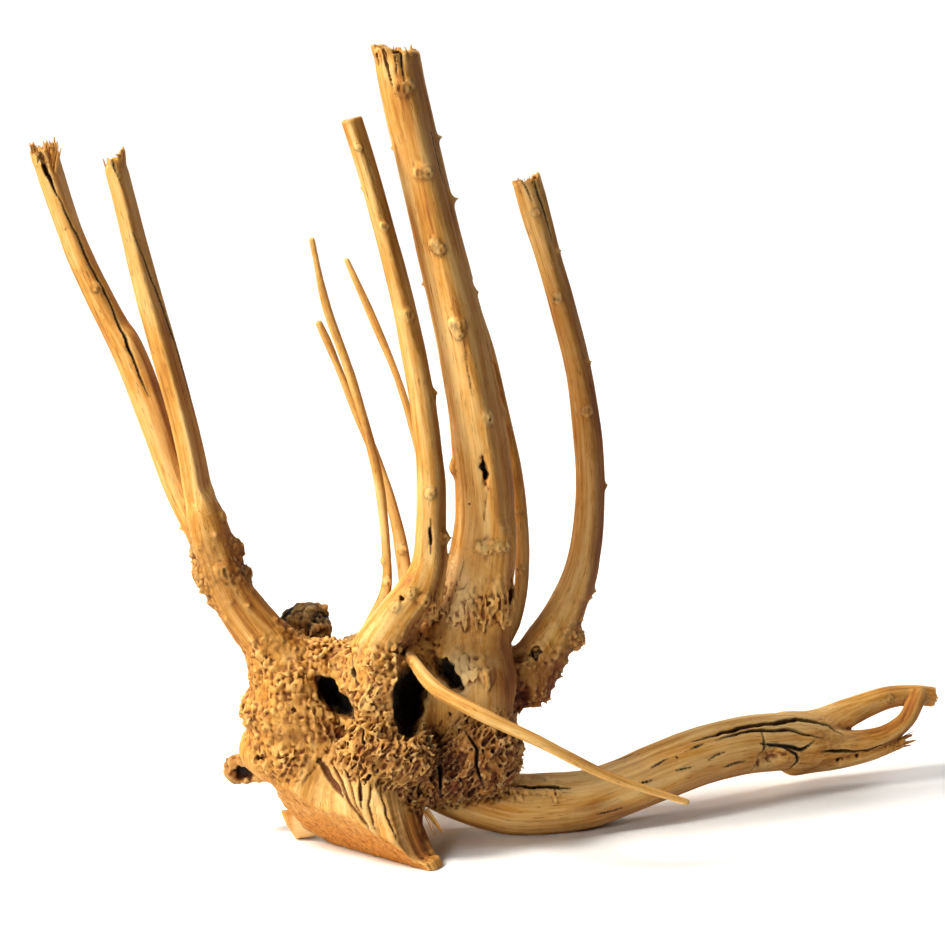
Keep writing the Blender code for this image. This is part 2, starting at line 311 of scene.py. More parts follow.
class Limb:
    """A round limb of changing radius along a smooth path.

    The path is a Catmull-Rom curve through the route's points, cut into short straight
    runs, and a point's distance is its distance to the nearest run less the radius there.
    """

    STEP = 4.0       # length of a run, mm
    SPARE = 14.0     # length added past a broken end, so that fibres can stand out, mm

    def __init__(
        self,
        name: str,
        route: tuple[tuple[float, ...], ...],
        blend: float = 6.0,
        tip: Tip | None = None,
        flats: tuple[Flat, ...] = (),
        ridge: float = 0.22,
        lobes: float = 0.05,
        facing: tuple[float, float, float] = (0.0, -1.0, 0.0),
        piece: str = "root_crown",
        late: bool = False,
        pale: float = 0.0,
    ) -> None:
        """Lays out the limb's runs and the frame that turns with them.

        Args:
            name: Name of the limb.
            route: Centre and radius at each measured point, mm.
            blend: Reach of the fillet where it joins other wood, mm.
            tip: How its far end is broken, or None where it is worn round.
            flats: Faces along it that are flat.
            ridge: Height of the grain ridges, mm.
            lobes: How far its section departs from round, as a part of the radius.
            facing: Direction that counts as the front of its section.
            piece: Name of the piece that its skin belongs to.
            late: Whether it joins after the hollows and the sawn face are cut.
            pale: How much paler (or, below 0, browner) its wood is, -1 to 1.
        """
        self.late, self.pale = late, pale
        self.name, self.blend, self.tip, self.flats = name, blend, tip, flats
        self.ridge, self.lobes, self.piece = ridge, lobes, piece
        self.number = 0
        points = np.array(route, np.float64)
        points[:, :3] -= np.array(ORIGIN)
        path = self.curve(points)
        self.length = float(np.linalg.norm(np.diff(path[:, :3], axis=0), axis=1).sum())
        if tip is not None:
            way = path[-1, :3] - path[-3, :3]
            way /= np.linalg.norm(way)
            extra = path[-1].copy()
            extra[:3] += way * self.SPARE
            path = np.vstack((path, extra))
        step = np.diff(path[:, :3], axis=0)
        self.run = np.linalg.norm(step, axis=1)
        self.start = path[:-1, :3].astype(np.float32)
        self.step = step.astype(np.float32)
        self.radius = path[:, 3].astype(np.float32)
        self.along = np.concatenate(((0.0,), np.cumsum(self.run))).astype(np.float32)
        along = np.gradient(path[:, :3], axis=0)
        along /= np.linalg.norm(along, axis=1, keepdims=True)
        front = np.array(facing) - (along @ np.array(facing))[:, None] * along
        front /= np.linalg.norm(front, axis=1, keepdims=True)
        self.front = front.astype(np.float32)
        self.right = np.cross(along, front).astype(np.float32)
        self.keep = np.arange(len(self.run))

    def curve(self, points: Array) -> Array:
        """Points about one step apart on the Catmull-Rom curve through the route.

        Args:
            points: Centres and radii, N x 4.

        Returns:
            Centres and radii on the curve, M x 4.
        """
        before = np.vstack((2 * points[0] - points[1], points[:-1]))[:-1]
        first, second = points[:-1], points[1:]
        after = np.vstack((points[1:], 2 * points[-1] - points[-2]))[1:]
        gap = np.linalg.norm((second - first)[:, :3], axis=1)
        parts = np.maximum(np.ceil(gap / self.STEP).astype(int), 1)
        seat = np.repeat(np.arange(len(first)), parts)
        t = (np.arange(len(seat)) - np.repeat(np.cumsum(parts) - parts, parts)) / parts[seat]
        t = t[:, None]
        p0, p1, p2, p3 = before[seat], first[seat], second[seat], after[seat]
        on = 0.5 * (2 * p1 + (p2 - p0) * t + (2 * p0 - 5 * p1 + 4 * p2 - p3) * t * t
                    + (3 * p1 - p0 - 3 * p2 + p3) * t ** 3)
        return np.vstack((on, points[-1]))

    def near(self, centre: Array, reach: float) -> Array:
        """Which runs come within reach of a centre.

        Args:
            centre: The centre, mm.
            reach: Distance, mm.

        Returns:
            Indices of those runs.
        """
        middle = self.start + self.step * 0.5
        far = np.linalg.norm(middle - centre, axis=1) - self.run * 0.5
        return np.nonzero(far - np.maximum(self.radius[1:], self.radius[:-1]) < reach)[0]

    def distance(self, p: Array, keep: Array) -> tuple[Array, Array]:
        """Distance to the limb, and each point's place in its section.

        Args:
            p: Points, N x 3, mm.
            keep: The runs that matter here.

        Returns:
            Distances, and an N x 3 array of right, front and along, mm.
        """
        start, step = self.start[keep], self.step[keep]
        low, high = self.radius[keep], self.radius[keep + 1]
        w = p[:, None, :] - start[None]
        size = np.einsum("ij,ij->i", step, step)
        t = np.clip(np.einsum("nij,ij->ni", w, step) / size, 0.0, 1.0)
        w -= t[:, :, None] * step[None]
        d = np.sqrt(np.einsum("nij,nij->ni", w, w)) - (low + t * (high - low))
        best = np.argmin(d, axis=1)
        rows = np.arange(len(p))
        d, t, w = d[rows, best], t[rows, best], w[rows, best]
        run = keep[best]
        mix = t[:, None]
        right = self.right[run] * (1 - mix) + self.right[run + 1] * mix
        front = self.front[run] * (1 - mix) + self.front[run + 1] * mix
        a = np.einsum("ij,ij->i", w, right)
        b = np.einsum("ij,ij->i", w, front)
        s = self.along[run] + t * self.run[run].astype(np.float32)
        r = low[best] + t * (high[best] - low[best])
        if self.lobes > 0.0:
            turn = np.arctan2(a, b)
            d -= self.lobes * r * (
                0.6 * np.sin(2 * turn + s * 0.021 + self.number)
                + 0.5 * np.sin(3 * turn - s * 0.033 + 2.0 * self.number)
                + 0.3 * np.sin(5 * turn + s * 0.05 + 3.0 * self.number)
            )
        for flat in self.flats:
            window = ramp(s, flat.start * self.length - 6.0, flat.start * self.length + 6.0)
            window *= ramp(s, flat.stop * self.length + 6.0, flat.stop * self.length - 6.0)
            facing = math.radians(flat.angle)
            past = a * math.sin(facing) + b * math.cos(facing) - flat.depth * r
            past -= (1.0 - window) * r * (1.05 - flat.depth)
            d = smooth_cut(d, past, flat.edge)
        if self.tip is not None:
            d = self.broken(d, a, b, s)
        return d, np.stack((a, b, s), axis=1)

    def broken(self, d: Array, a: Array, b: Array, s: Array) -> Array:
        """Cuts the far end with a broken surface: the end's length plus lean and steps.

        Args:
            d: Distances to the uncut limb, mm.
            a: Places to the right of the axis, mm.
            b: Places to the front of the axis, mm.
            s: Places along the axis, mm.

        Returns:
            Distances to the broken limb.
        """
        tip = self.tip
        end = self.length + tip.lean_across * a + tip.lean_front * b
        close = s > self.length - 26.0
        if not close.any():
            return d
        ac, bc, sc, dc = a[close], b[close], s[close], d[close]
        if tip.kind is End.SAWN:
            cut = sc - end[close]
            d = d.copy()
            d[close] = smooth_cut(dc, cut, 0.5)
            return d
        q = np.stack((ac / tip.width, bc / tip.width, sc / 60.0 + self.number), axis=1)
        first, second, tone = NOISE.nearest(q)
        step = (tone - 0.5) * 2.0 * tip.rise + 0.5 * NOISE.smooth(q * 2.7)
        gap = np.maximum(0.30 - (second - first), 0.0) * (3.0 if tip.kind is End.FRAYED else 1.6)
        gap *= ramp(sc, self.length - (16.0 if tip.kind is End.FRAYED else 9.0), self.length)
        step -= tip.cup * ramp(np.sqrt(ac * ac + bc * bc), 0.8 * self.radius[-1], 0.2 * self.radius[-1])
        d = d.copy()
        d[close] = smooth_cut(dc + gap * tip.width, sc - end[close] - step, 0.35)
        return d


@dataclass(frozen=True)
class Lump:
    """A rounded mass of the crown.

    Attributes:
        name: Name of the lump.
        centre: Centre, mm.
        half: Half sizes, mm.
        blend: Reach of the fillet where it joins other wood, mm.
        turn: Turn about the front-to-back axis, degrees.
    """

    name: str
    centre: tuple[float, float, float]
    half: tuple[float, float, float]
    blend: float = 9.0
    turn: float = 0.0

    def distance(self, p: Array) -> Array:
        """Distance to the ellipsoid, near enough: k(k - 1) over the slope of k.

        Args:
            p: Points, N x 3, mm.

        Returns:
            Distances, mm.
        """
        q = p - (np.array(self.centre, np.float32) - np.array(ORIGIN, np.float32))
        if self.turn:
            c, s = math.cos(math.radians(self.turn)), math.sin(math.radians(self.turn))
            q = np.stack((q[:, 0] * c - q[:, 2] * s, q[:, 1], q[:, 0] * s + q[:, 2] * c), axis=1)
        half = np.array(self.half, np.float32)
        inner = np.linalg.norm(q / half, axis=1)
        slope = np.linalg.norm(q / (half * half), axis=1) + 1e-6
        return inner * (inner - 1.0) / slope

    def touches(self, centre: Array, reach: float) -> bool:
        """Whether the lump comes within reach of a centre."""
        away = np.linalg.norm(centre - (np.array(self.centre) - np.array(ORIGIN)))
        return bool(away - max(self.half) < reach)


@dataclass(frozen=True)
class Patch:
    """A patch of the crown with its own kind of surface.

    Attributes:
        skin: What the surface is like.
        centre: Centre, mm.
        half: Half sizes of the patch, mm.
        strength: Height of its detail against the usual height.
    """

    skin: Skin
    centre: tuple[float, float, float]
    half: tuple[float, float, float]
    strength: float = 1.0

    def cover(self, p: Array) -> Array:
        """How much the patch covers each point, 1 in its middle to 0 outside.

        Args:
            p: Points, N x 3, mm.

        Returns:
            Cover times strength.
        """
        q = p - (np.array(self.centre, np.float32) - np.array(ORIGIN, np.float32))
        away = np.linalg.norm(q / np.array(self.half, np.float32), axis=1)
        return ramp(away, 1.2, 0.8) * self.strength


@dataclass(frozen=True)
class Knot:
    """A single knot, spur, burr or pit, settled onto the wood below it.

    Attributes:
        kind: What it is.
        at: Its place, mm.
        size: Radius, mm.
        rise: How far it stands out, mm.
    """

    kind: Mark
    at: tuple[float, float, float]
    size: float
    rise: float = 1.0


@dataclass(frozen=True)
class Crack:
    """A split or a groove that follows the wood's surface.

    Attributes:
        points: Its course, mm.
        width: Half of its width at the middle, mm.
        depth: Depth, mm.
        open_start: Whether it is at its widest at the first point.
        dark: How dark its sides are painted, as shade inside the split, 0 to 1.
    """

    points: tuple[tuple[float, float, float], ...]
    width: float = 0.7
    depth: float = 2.0
    open_start: bool = False
    dark: float = 1.0


@dataclass(frozen=True)
class Course:
    """A crack settled onto the wood.

    Attributes:
        crack: The crack.
        points: Its course on the surface, N x 3, mm.
        width: Half width at each point, mm.
        across: Direction across it at each point, N x 3.
        middle: Mean of the points.
        reach: Distance from the middle to the furthest point, mm.
    """

    crack: Crack
    points: Array
    width: Array
    across: Array
    middle: Array
    reach: float


@dataclass
class Sample:
    """What the wood is like at a set of points: see Wood.skin for each array."""

    distance: Array
    grain: Array
    lead: Array
    kind: Array
    hollow: Array
    shade: Array


@dataclass
class Local:
    """The parts of the wood that matter near one place."""

    limbs: list[tuple[Limb, Array]]
    lumps: list[Lump]
    knots: list[tuple[Knot, Array, Array]]
    cracks: list[Course]
    hollows: list[Lump]


class Wood:
    """The whole piece of wood as a distance from its surface."""

    SAWN_POINT = (-73.0, -68.5, 22.0)
    SAWN_NORMAL = (-0.50, -0.58, -0.64)
    BRIGHT_HOLLOWS = ("root_scoop", "foot_scoop", "limb_pit")
    # turns the winding ridges to lean over to the right as they rise
    LEAN = np.array(((0.83, 0.0, 0.56), (0.0, 1.0, 0.0), (-0.56, 0.0, 0.83)), np.float32)
    # where the wood is painted paler or browner: its own tone, painted light on the shadowed neck and low
    # trunk, and painted shade in recesses and on sides turned from the light; centre and half sizes, mm, and
    # the amount
    TINTS_AND_PAINTED_LIGHT = (
        ((-24, -28, 112), (9, 16, 18), 1.4), ((-24, -44, 80), (11, 14, 13), 1.5),
        ((3, -10, 61), (8, 14, 11), -0.9), ((12, -10, 68), (15, 16, 13), -0.3),
        ((-38, -26, 300), (16, 20, 60), -0.12), ((57, -14, 22), (26, 16, 12), 0.5),
        ((-3, -34, 78), (9, 14, 16), -0.35),
        ((-41, -66, 10), (9, 14, 16), -0.5), ((-122, -26, 30), (13, 14, 11), -0.45),
        ((-128, -36, 124), (20, 20, 22), -0.25), ((32, 6, 170), (22, 16, 130), -0.3),
        ((-15, -40, 140), (9, 14, 60), 0.35), ((-12, -40, 40), (24, 30, 24), -0.55),
        ((-34, -44, 32), (20, 24, 18), -0.45), ((-50, -40, 100), (12, 14, 16), -0.3),
        ((-110, -40, 112), (18, 20, 22), -0.15), ((-92, -60, 62), (12, 20, 18), 0.25),
        ((-72, -60, 32), (14, 20, 16), 0.3), ((150, 48, 24), (18, 30, 14), 0.35),
        ((60, -20, 12), (40, 16, 8), -0.25), ((30, -24, 24), (24, 14, 9), 0.25),
        ((-52, -60, 46), (18, 20, 14), -0.3), ((16, -10, 70), (14, 16, 18), -0.2),
    )

    def __init__(
        self,
        limbs: tuple[Limb, ...],
        lumps: tuple[Lump, ...],
        patches: tuple[Patch, ...],
        knots: tuple[Knot, ...],
        cracks: tuple[Crack, ...],
        hollows: tuple[Lump, ...],
    ) -> None:
        """Settles the knots and cracks onto the body.

        Args:
            limbs: Stems, roots and twigs.
            lumps: Rounded masses of the crown.
            patches: Patches with their own kind of surface.
            knots: Single knots and spurs.
            cracks: Splits and grooves.
            hollows: Rotted holes.
        """
        self.limbs, self.lumps, self.patches, self.hollows = limbs, lumps, patches, hollows
        for number, limb in enumerate(limbs):
            limb.number = number
        self.ridges = np.array([limb.ridge for limb in limbs] + [0.16], np.float32)
        self.is_late = np.array([limb.late for limb in limbs] + [False], np.float32)
        self.pale = np.array([limb.pale for limb in limbs] + [0.0], np.float32)
        self.everything = Local([(limb, limb.keep) for limb in limbs], list(lumps), [], [], [])
        self.knots = self.settle_knots(knots)
        self.cracks = self.settle_cracks(cracks)

    def outward(self, p: Array) -> Array:
        """Direction away from the wood at each point, from differences of the distance.

        Args:
            p: Points, N x 3, mm.

        Returns:
            Unit directions, N x 3.
        """
        reach = 0.8
        offsets = np.vstack((np.eye(3), -np.eye(3))).astype(np.float32) * reach
        spread = (p[None] + offsets[:, None]).reshape(-1, 3)
        d = self.whole(spread, self.everything).reshape(6, -1)
        way = (d[:3] - d[3:]).T
        return way / (np.linalg.norm(way, axis=1, keepdims=True) + 1e-6)

    def settle(self, p: Array) -> tuple[Array, Array]:
        """Moves points onto the body's surface by stepping back along the distance.

        Args:
            p: Points, N x 3, mm.

        Returns:
            Points on the surface, and the directions outwards there.
        """
        for _ in range(4):
            way = self.outward(p)
            p = p - way * self.whole(p, self.everything)[:, None] * 0.9
        return p, self.outward(p)

    def settle_knots(self, knots: tuple[Knot, ...]) -> list[tuple[Knot, Array, Array]]:
        """Each knot with its place on the surface and the direction outwards there."""
        if not knots:
            return []
        p = np.array([k.at for k in knots], np.float32) - np.array(ORIGIN, np.float32)
        p, way = self.settle(p)
        return list(zip(knots, p, way))

    def settle_cracks(self, cracks: tuple[Crack, ...]) -> list[Course]:
        """Each crack laid on the surface, tapering to its ends and uneven in width.

        Args:
            cracks: The cracks.

        Returns:
            Their courses.
        """
        out = []
        for crack in cracks:
            rough = np.array(crack.points, np.float64) - np.array(ORIGIN)
            gaps = np.concatenate(((0.0,), np.linalg.norm(np.diff(rough, axis=0), axis=1).cumsum()))
            at = np.linspace(0.0, gaps[-1], max(int(gaps[-1] / 1.5), 3) + 1)
            course = np.stack([np.interp(at, gaps, rough[:, i]) for i in range(3)], axis=1)
            course, way = self.settle(course.astype(np.float32))
            along = np.gradient(course, axis=0)
            across = np.cross(along, way)
            across /= np.linalg.norm(across, axis=1, keepdims=True) + 1e-6
            left = gaps[-1] - at
            taper = left if crack.open_start else np.minimum(at, left)
            taper = np.sqrt(np.clip(taper / ((0.9 if crack.open_start else 0.3) * gaps[-1]), 0.04, 1.0))
            course = course + across * 0.5 * NOISE.smooth(course / 4.0 + 9.0)[:, None]
            width = crack.width * taper * (1.0 + 0.4 * NOISE.smooth(course / 5.0 + 3.0))
            middle = course.mean(axis=0)
            reach = float(np.linalg.norm(course - middle, axis=1).max())
            out.append(Course(crack, course.astype(np.float32), width.astype(np.float32),
                              across.astype(np.float32), middle, reach))
        return out

    def local(self, centre: Array, half: float) -> Local:
        """The limbs, lumps and marks that matter within half a diagonal of a centre.

        Args:
            centre: The centre, mm.
            half: Half of the diagonal of the region, mm.

        Returns:
            Those parts.
        """
        limbs = []
        for limb in self.limbs:
            keep = limb.near(centre, half + SKIN_DEPTH + limb.blend + 3.0)
            if len(keep):
                limbs.append((limb, keep))
        lumps = [u for u in self.lumps if u.touches(centre, half + SKIN_DEPTH + u.blend + 3.0)]
        knots = [k for k in self.knots if np.linalg.norm(k[1] - centre) < half + 3.0 * k[0].size + 6.0]
        cracks = [c for c in self.cracks
                  if np.linalg.norm(c.points - centre, axis=1).min() < half + c.crack.depth + 4.0]
        hollows = [h for h in self.hollows if h.touches(centre, half + 4.0)]
        return Local(limbs, lumps, knots, cracks, hollows)

    def body(self, p: Array, local: Local) -> tuple[Array, Array, Array, Array, Array]:
        """Distance to the smooth body, without its detail.

        Args:
            p: Points, N x 3, mm.
            local: The parts that matter here.

        Returns:
            Distance to the main body; distance to the late limbs; how clearly one part
            leads; which limb leads (-1 for a lump); and the place in its grain.
        """
        total = np.full(len(p), FAR, np.float32)
        late, best, second = total.copy(), total.copy(), total.copy()
        lead = np.full(len(p), -1, np.int16)
        grain = p.copy()
        for lump in local.lumps:
            d = lump.distance(p)
            total = smooth_union(total, d, lump.blend)
            best = np.minimum(best, d)
        for limb, keep in local.limbs:
            d, place = limb.distance(p, keep)
            if limb.late:
                late = np.minimum(late, d)
            else:
                total = smooth_union(total, d, limb.blend)
            near = d < best
            second = np.where(near, best, np.minimum(second, d))
            best = np.where(near, d, best)
            lead[near] = limb.number
            grain[near] = place[near]
        return total, late, np.clip((second - best) / 3.0, 0.0, 1.0), lead, grain

    def whole(self, p: Array, local: Local) -> Array:
        """Distance to the smooth body with the late limbs."""
        total, late = self.body(p, local)[:2]
        return np.minimum(total, late)

    def rough(self, p: Array, local: Local) -> Array:
        """Distance to the body with its hollows, sawn face and underside cut, no detail.

        Args:
            p: Points, N x 3, mm.
            local: The parts that matter here.

        Returns:
            Distances, mm.
        """
        total, late = self.body(p, local)[:2]
        for hole in local.hollows:
            total = np.maximum(total, -hole.distance(p))
        total = np.minimum(np.maximum(total, self.sawn(p)), late)
        return np.maximum(total, -p[:, 2])

    def cover(self, p: Array, skin: Skin) -> Array:
        """Most that any patch of one kind covers each point, 0 where there is none."""
        total = np.zeros(len(p), np.float32)
        for patch in self.patches:
            if patch.skin is skin:
                total = np.maximum(total, patch.cover(p))
        return total

    def skin(self, p: Array, local: Local, marks: bool = False) -> Sample:
        """Distance to the finished surface, and what it is like there.

        Args:
            p: Points, N x 3, mm.
            local: The parts that matter here.
            marks: Whether the kinds of surface are wanted too.

        Returns:
            A sample: distance; grain, the place across and along the grain; lead, the leading limb; kind, an
                N x 3 array of burl, cut and bark, 0 to 1; and hollow, an N x 3 array of painted shade in
                holes, cracks and knots, 0 to 1.
        """
        d, late, clear, lead, grain = self.body(p, local)
        body = d
        skin = np.abs(np.minimum(d, late)) < SKIN_DEPTH
        kind = np.zeros((len(p), 3), np.float32)
        hollow = np.zeros((len(p), 3), np.float32)
        if skin.any():
            rise, burl, bark = self.detail(p[skin], clear[skin], lead[skin], grain[skin])
            d, late = d.copy(), late.copy()
            d[skin] -= rise
            late[skin] -= rise * self.is_late[lead[skin]]
            kind[skin, 0], kind[skin, 2] = burl, bark
        for knot, at, way in local.knots:
            d = self.add_knot(d, p, knot, at, way, hollow if marks else None)
        for hole in local.hollows:
            rough = 1.3 * NOISE.smooth(p / 3.6) + 0.7 * OTHER_NOISE.smooth(p / 1.7)
            inside = hole.distance(p) + rough
            d = smooth_cut(d, -inside, hole.blend)
            # painted shade: a rotted hole darkens with depth below the body's surface, except the bright
            # scoops
            if marks and hole.name not in self.BRIGHT_HOLLOWS:
                deep = ramp(inside, 1.2, 0.0) * ramp(-body, 0.6, 6.0)
                hollow[:, 0] = np.maximum(hollow[:, 0], deep)
        for course in local.cracks:
            d = self.split(d, p, course, hollow if marks else None)
        cut = self.sawn(p)
        fibres = (p @ self.LEAN.T) / np.array((1.3, 1.3, 8.0), np.float32)
        edge = 0.5 * NOISE.smooth(p / 1.3) + 0.4 + 0.9 * OTHER_NOISE.smooth(fibres)
        d = smooth_cut(d, cut + 0.5 * edge * (cut > -3.0), 0.5)
        if marks:
            raw = 0.35 + 0.65 * ramp(p[:, 2] + 4.0 * NOISE.smooth(p / 5.0), 26.0, 6.0)
            kind[:, 1] = ramp(cut, -1.3, -0.4) * (late > d) * raw
            hollow *= (late > d)[:, None]
            for limb, _ in local.limbs:
                if limb.tip is not None:
                    mine = lead == limb.number
                    past = grain[mine, 2] - limb.length
                    fresh = 0.75 * ramp(past, -2.0 - limb.tip.rise, -0.3)
                    kind[mine, 1] = np.maximum(kind[mine, 1], fresh)
        d = smooth_union(d, late, 1.6)
        d = smooth_cut(d, -p[:, 2], 0.6)
        return Sample(d, grain, lead, kind, hollow, self.shade(p, lead) if marks else hollow)

    def shade(self, p: Array, lead: Array) -> Array:
        """How much paler (or browner, below 0) the wood is painted, -1 to 1: its own tone together with
        painted light and shade.
        """
        total = self.pale[lead].copy()
        for centre, half, amount in self.TINTS_AND_PAINTED_LIGHT:
            q = p - (np.array(centre, np.float32) - np.array(ORIGIN, np.float32))
            total += amount * ramp(np.linalg.norm(q / np.array(half, np.float32), axis=1), 1.25, 0.5)
        return total

    def split(self, d: Array, p: Array, course: Course, hollow: Array | None) -> Array:
        """Cuts one crack: a wedge that is widest at the surface and closes at its depth.

        Args:
            d: Distances so far, mm.
            p: Points, N x 3, mm.
            course: The crack on the surface.
            hollow: Where the painted shade of holes, cracks and knots is kept, or None.

        Returns:
            Distances with the crack.
        """
        depth = course.crack.depth
        far = course.reach + depth + 3.0
        near = np.nonzero(np.linalg.norm(p - course.middle, axis=1) < far)[0]
        if not len(near):
            return d
        w = p[near][:, None, :] - course.points[None]
        away = np.einsum("nij,nij->ni", w, w)
        best = np.argmin(away, axis=1)
        rows = np.arange(len(near))
        reach, w = np.sqrt(away[rows, best]), w[rows, best]
        side = np.abs(np.einsum("ij,ij->i", w, course.across[best]))
        half = course.width[best]
        sunk = np.clip(reach / depth, 0.0, 1.0)
        gap = np.maximum(side - half * (1.0 - 0.7 * sunk), reach - depth)
        d = d.copy()
        d[near] = smooth_cut(d[near], -gap, 0.35)
        # painted shade on the sides of the split
        if hollow is not None:
            dark = ramp(gap, 0.55, -0.15) * course.crack.dark
            hollow[near, 1] = np.maximum(hollow[near, 1], dark)
        return d

    def sawn(self, p: Array) -> Array:
        """Distance past the sawn face of the foot, positive where the wood is gone."""
        q = p - (np.array(self.SAWN_POINT, np.float32) - np.array(ORIGIN, np.float32))
        normal = np.array(self.SAWN_NORMAL, np.float32)
        return q @ (normal / np.linalg.norm(normal)).astype(np.float32)

    def detail(
        self, p: Array, clear: Array, lead: Array, grain: Array
    ) -> tuple[Array, Array, Array]:
        """Height of the burl, the bark and the grain above the smooth body.

        Thorns are pointed bumps over slow waves, beads are round bumps on warped and
        stretched cells, drips are the same drawn out downwards, and the grain is noise
        that is fine round the limb and long along it.

        Args:
            p: Points, N x 3, mm.
            clear: How clearly one limb leads, 0 to 1.
            lead: The leading limb.
            grain: Place in its grain, mm.

        Returns:
            Height, mm; how much of it is burl; how much of it is bark.
        """
        thorns, beads = self.cover(p, Skin.THORNS), self.cover(p, Skin.BEADS)
        drips, bark = self.cover(p, Skin.DRIPS), self.cover(p, Skin.BARK)
        pores = self.cover(p, Skin.PORES)
        burl = np.minimum(np.maximum(np.maximum(thorns, beads), np.maximum(0.4 * drips, pores)), 1.0)
        rise = np.zeros(len(p), np.float32)
        m = thorns > 0.0
        if m.any():
            q = p[m]
            wave = NOISE.smooth(q / 9.0)
            q = q + 0.9 * OTHER_NOISE.smooth(q / 2.6)[:, None]
            h = 3.9 * NOISE.bumps(q / np.array((3.1, 3.1, 3.8), np.float32), 1.2, 0.64)
            h += 2.2 * OTHER_NOISE.bumps(q / 2.0, 1.2, 0.64)
            h += 1.1 * OTHER_NOISE.ridges(q / np.array((2.6, 2.6, 8.0), np.float32))
            rise[m] += thorns[m] * (h * (0.75 + 0.65 * wave) + 1.5 * wave - 1.4)
        m = beads > 0.0
        if m.any():
            q = p[m] @ self.LEAN
            q = q + 1.6 * NOISE.smooth(q / 6.0)[:, None]
            h = 2.7 * NOISE.ridges(q / np.array((2.5, 2.5, 6.5), np.float32))
            h += 1.9 * OTHER_NOISE.ridges(q / np.array((1.7, 1.7, 3.4), np.float32))
            h += 1.9 * OTHER_NOISE.bumps(q / np.array((1.9, 1.9, 2.6), np.float32), 1.4, 0.64)
            rise[m] += beads[m] * (h + 1.3 * NOISE.smooth(q / 7.0) - 2.3)
        rise += self.hems(p)
        m = bark > 0.0
        if m.any():
            q = p[m] + 1.5 * NOISE.smooth(p[m] / 3.0)[:, None]
            first, second, tone = NOISE.nearest(q / np.array((5.5, 4.0, 7.0), np.float32))
            h = 1.2 * (tone - 0.5) - 0.8 * ramp(second - first, 0.2, 0.0)
            h += 1.6 * OTHER_NOISE.smooth(q / 3.1) + 1.2 * NOISE.ridges(q / 2.0)
            rise[m] += bark[m] * h
        m = pores > 0.0
        if m.any():
            q = p[m] + 0.7 * NOISE.smooth(p[m] / 2.0)[:, None]
            rise[m] += pores[m] * (0.6 - 3.0 * NOISE.bumps(q / 3.0, 1.8, 0.64)
                                   + 1.8 * OTHER_NOISE.bumps(q / 2.4, 1.5, 0.64))
        ridge = self.ridges[lead] * (1.0 - burl) * (0.15 + 0.85 * clear)
        m = ridge > 0.02
        if m.any():
            q = grain[m]
            flute = OTHER_NOISE.smooth(q / np.array((7.5, 7.5, 110.0), np.float32))
            wide = NOISE.smooth(q / np.array((3.4, 3.4, 55.0), np.float32))
            fine = OTHER_NOISE.smooth(q / np.array((1.5, 1.5, 26.0), np.float32))
            rise[m] += ridge[m] * (1.6 * flute + wide + 0.6 * fine)
        slow = OTHER_NOISE.smooth(p / 16.0)
        rise += 0.35 * slow * (1.0 - burl)
        return rise, burl, bark

    def hems(self, p: Array) -> Array:
        """Height of the hems of dripping wood: a skirt that swells downwards to a torn edge.

        Args:
            p: Points, N x 3, mm.

        Returns:
            Height, mm.
        """
        rise = np.zeros(len(p), np.float32)
        for patch in self.patches:
            if patch.skin is not Skin.DRIPS:
                continue
            cover = patch.cover(p)
            m = cover > 0.0
            if not m.any():
                continue
            q = p[m]
            up = q[:, 2] - patch.centre[2]
            edge = 4.2 * NOISE.smooth(q / np.array((3.0, 3.0, 30.0), np.float32))
            edge += 3.6 * OTHER_NOISE.smooth(q / np.array((1.6, 1.6, 24.0), np.float32))
            flute = NOISE.ridges(q / np.array((2.6, 2.6, 18.0), np.float32))
            nubs = OTHER_NOISE.bumps(q / np.array((2.0, 2.0, 3.4), np.float32), 1.4, 0.64)
            swell = ramp(up, patch.half[2] * 0.95, edge) * ramp(up, edge - 3.2, edge - 0.2)
            rise[m] += cover[m] * swell * (1.7 + 1.8 * flute + 2.2 * nubs)
        return rise

    def add_knot(
        self, d: Array, p: Array, knot: Knot, at: Array, way: Array, hollow: Array | None
    ) -> Array:
        """Raises or sinks one knot.

        Args:
            d: Distances so far, mm.
            p: Points, N x 3, mm.
            knot: The knot.
            at: Its place on the surface.
            way: The direction outwards there.
            hollow: Where the painted shade of holes, cracks and knots is kept, or None.

        Returns:
            Distances with the knot.
        """
        q = p - at
        up = q @ way
        flat = np.sqrt(np.maximum(np.einsum("ij,ij->i", q, q) - up * up, 0.0))
        near = (flat < knot.size * 2.6) & (np.abs(up) < knot.rise + 3.0 * knot.size)
        if not near.any():
            return d
        u, f, dn, qn = up[near], flat[near], d[near], q[near]
        wave = NOISE.smooth(qn / (knot.size * 0.6) + knot.size * 7.0)
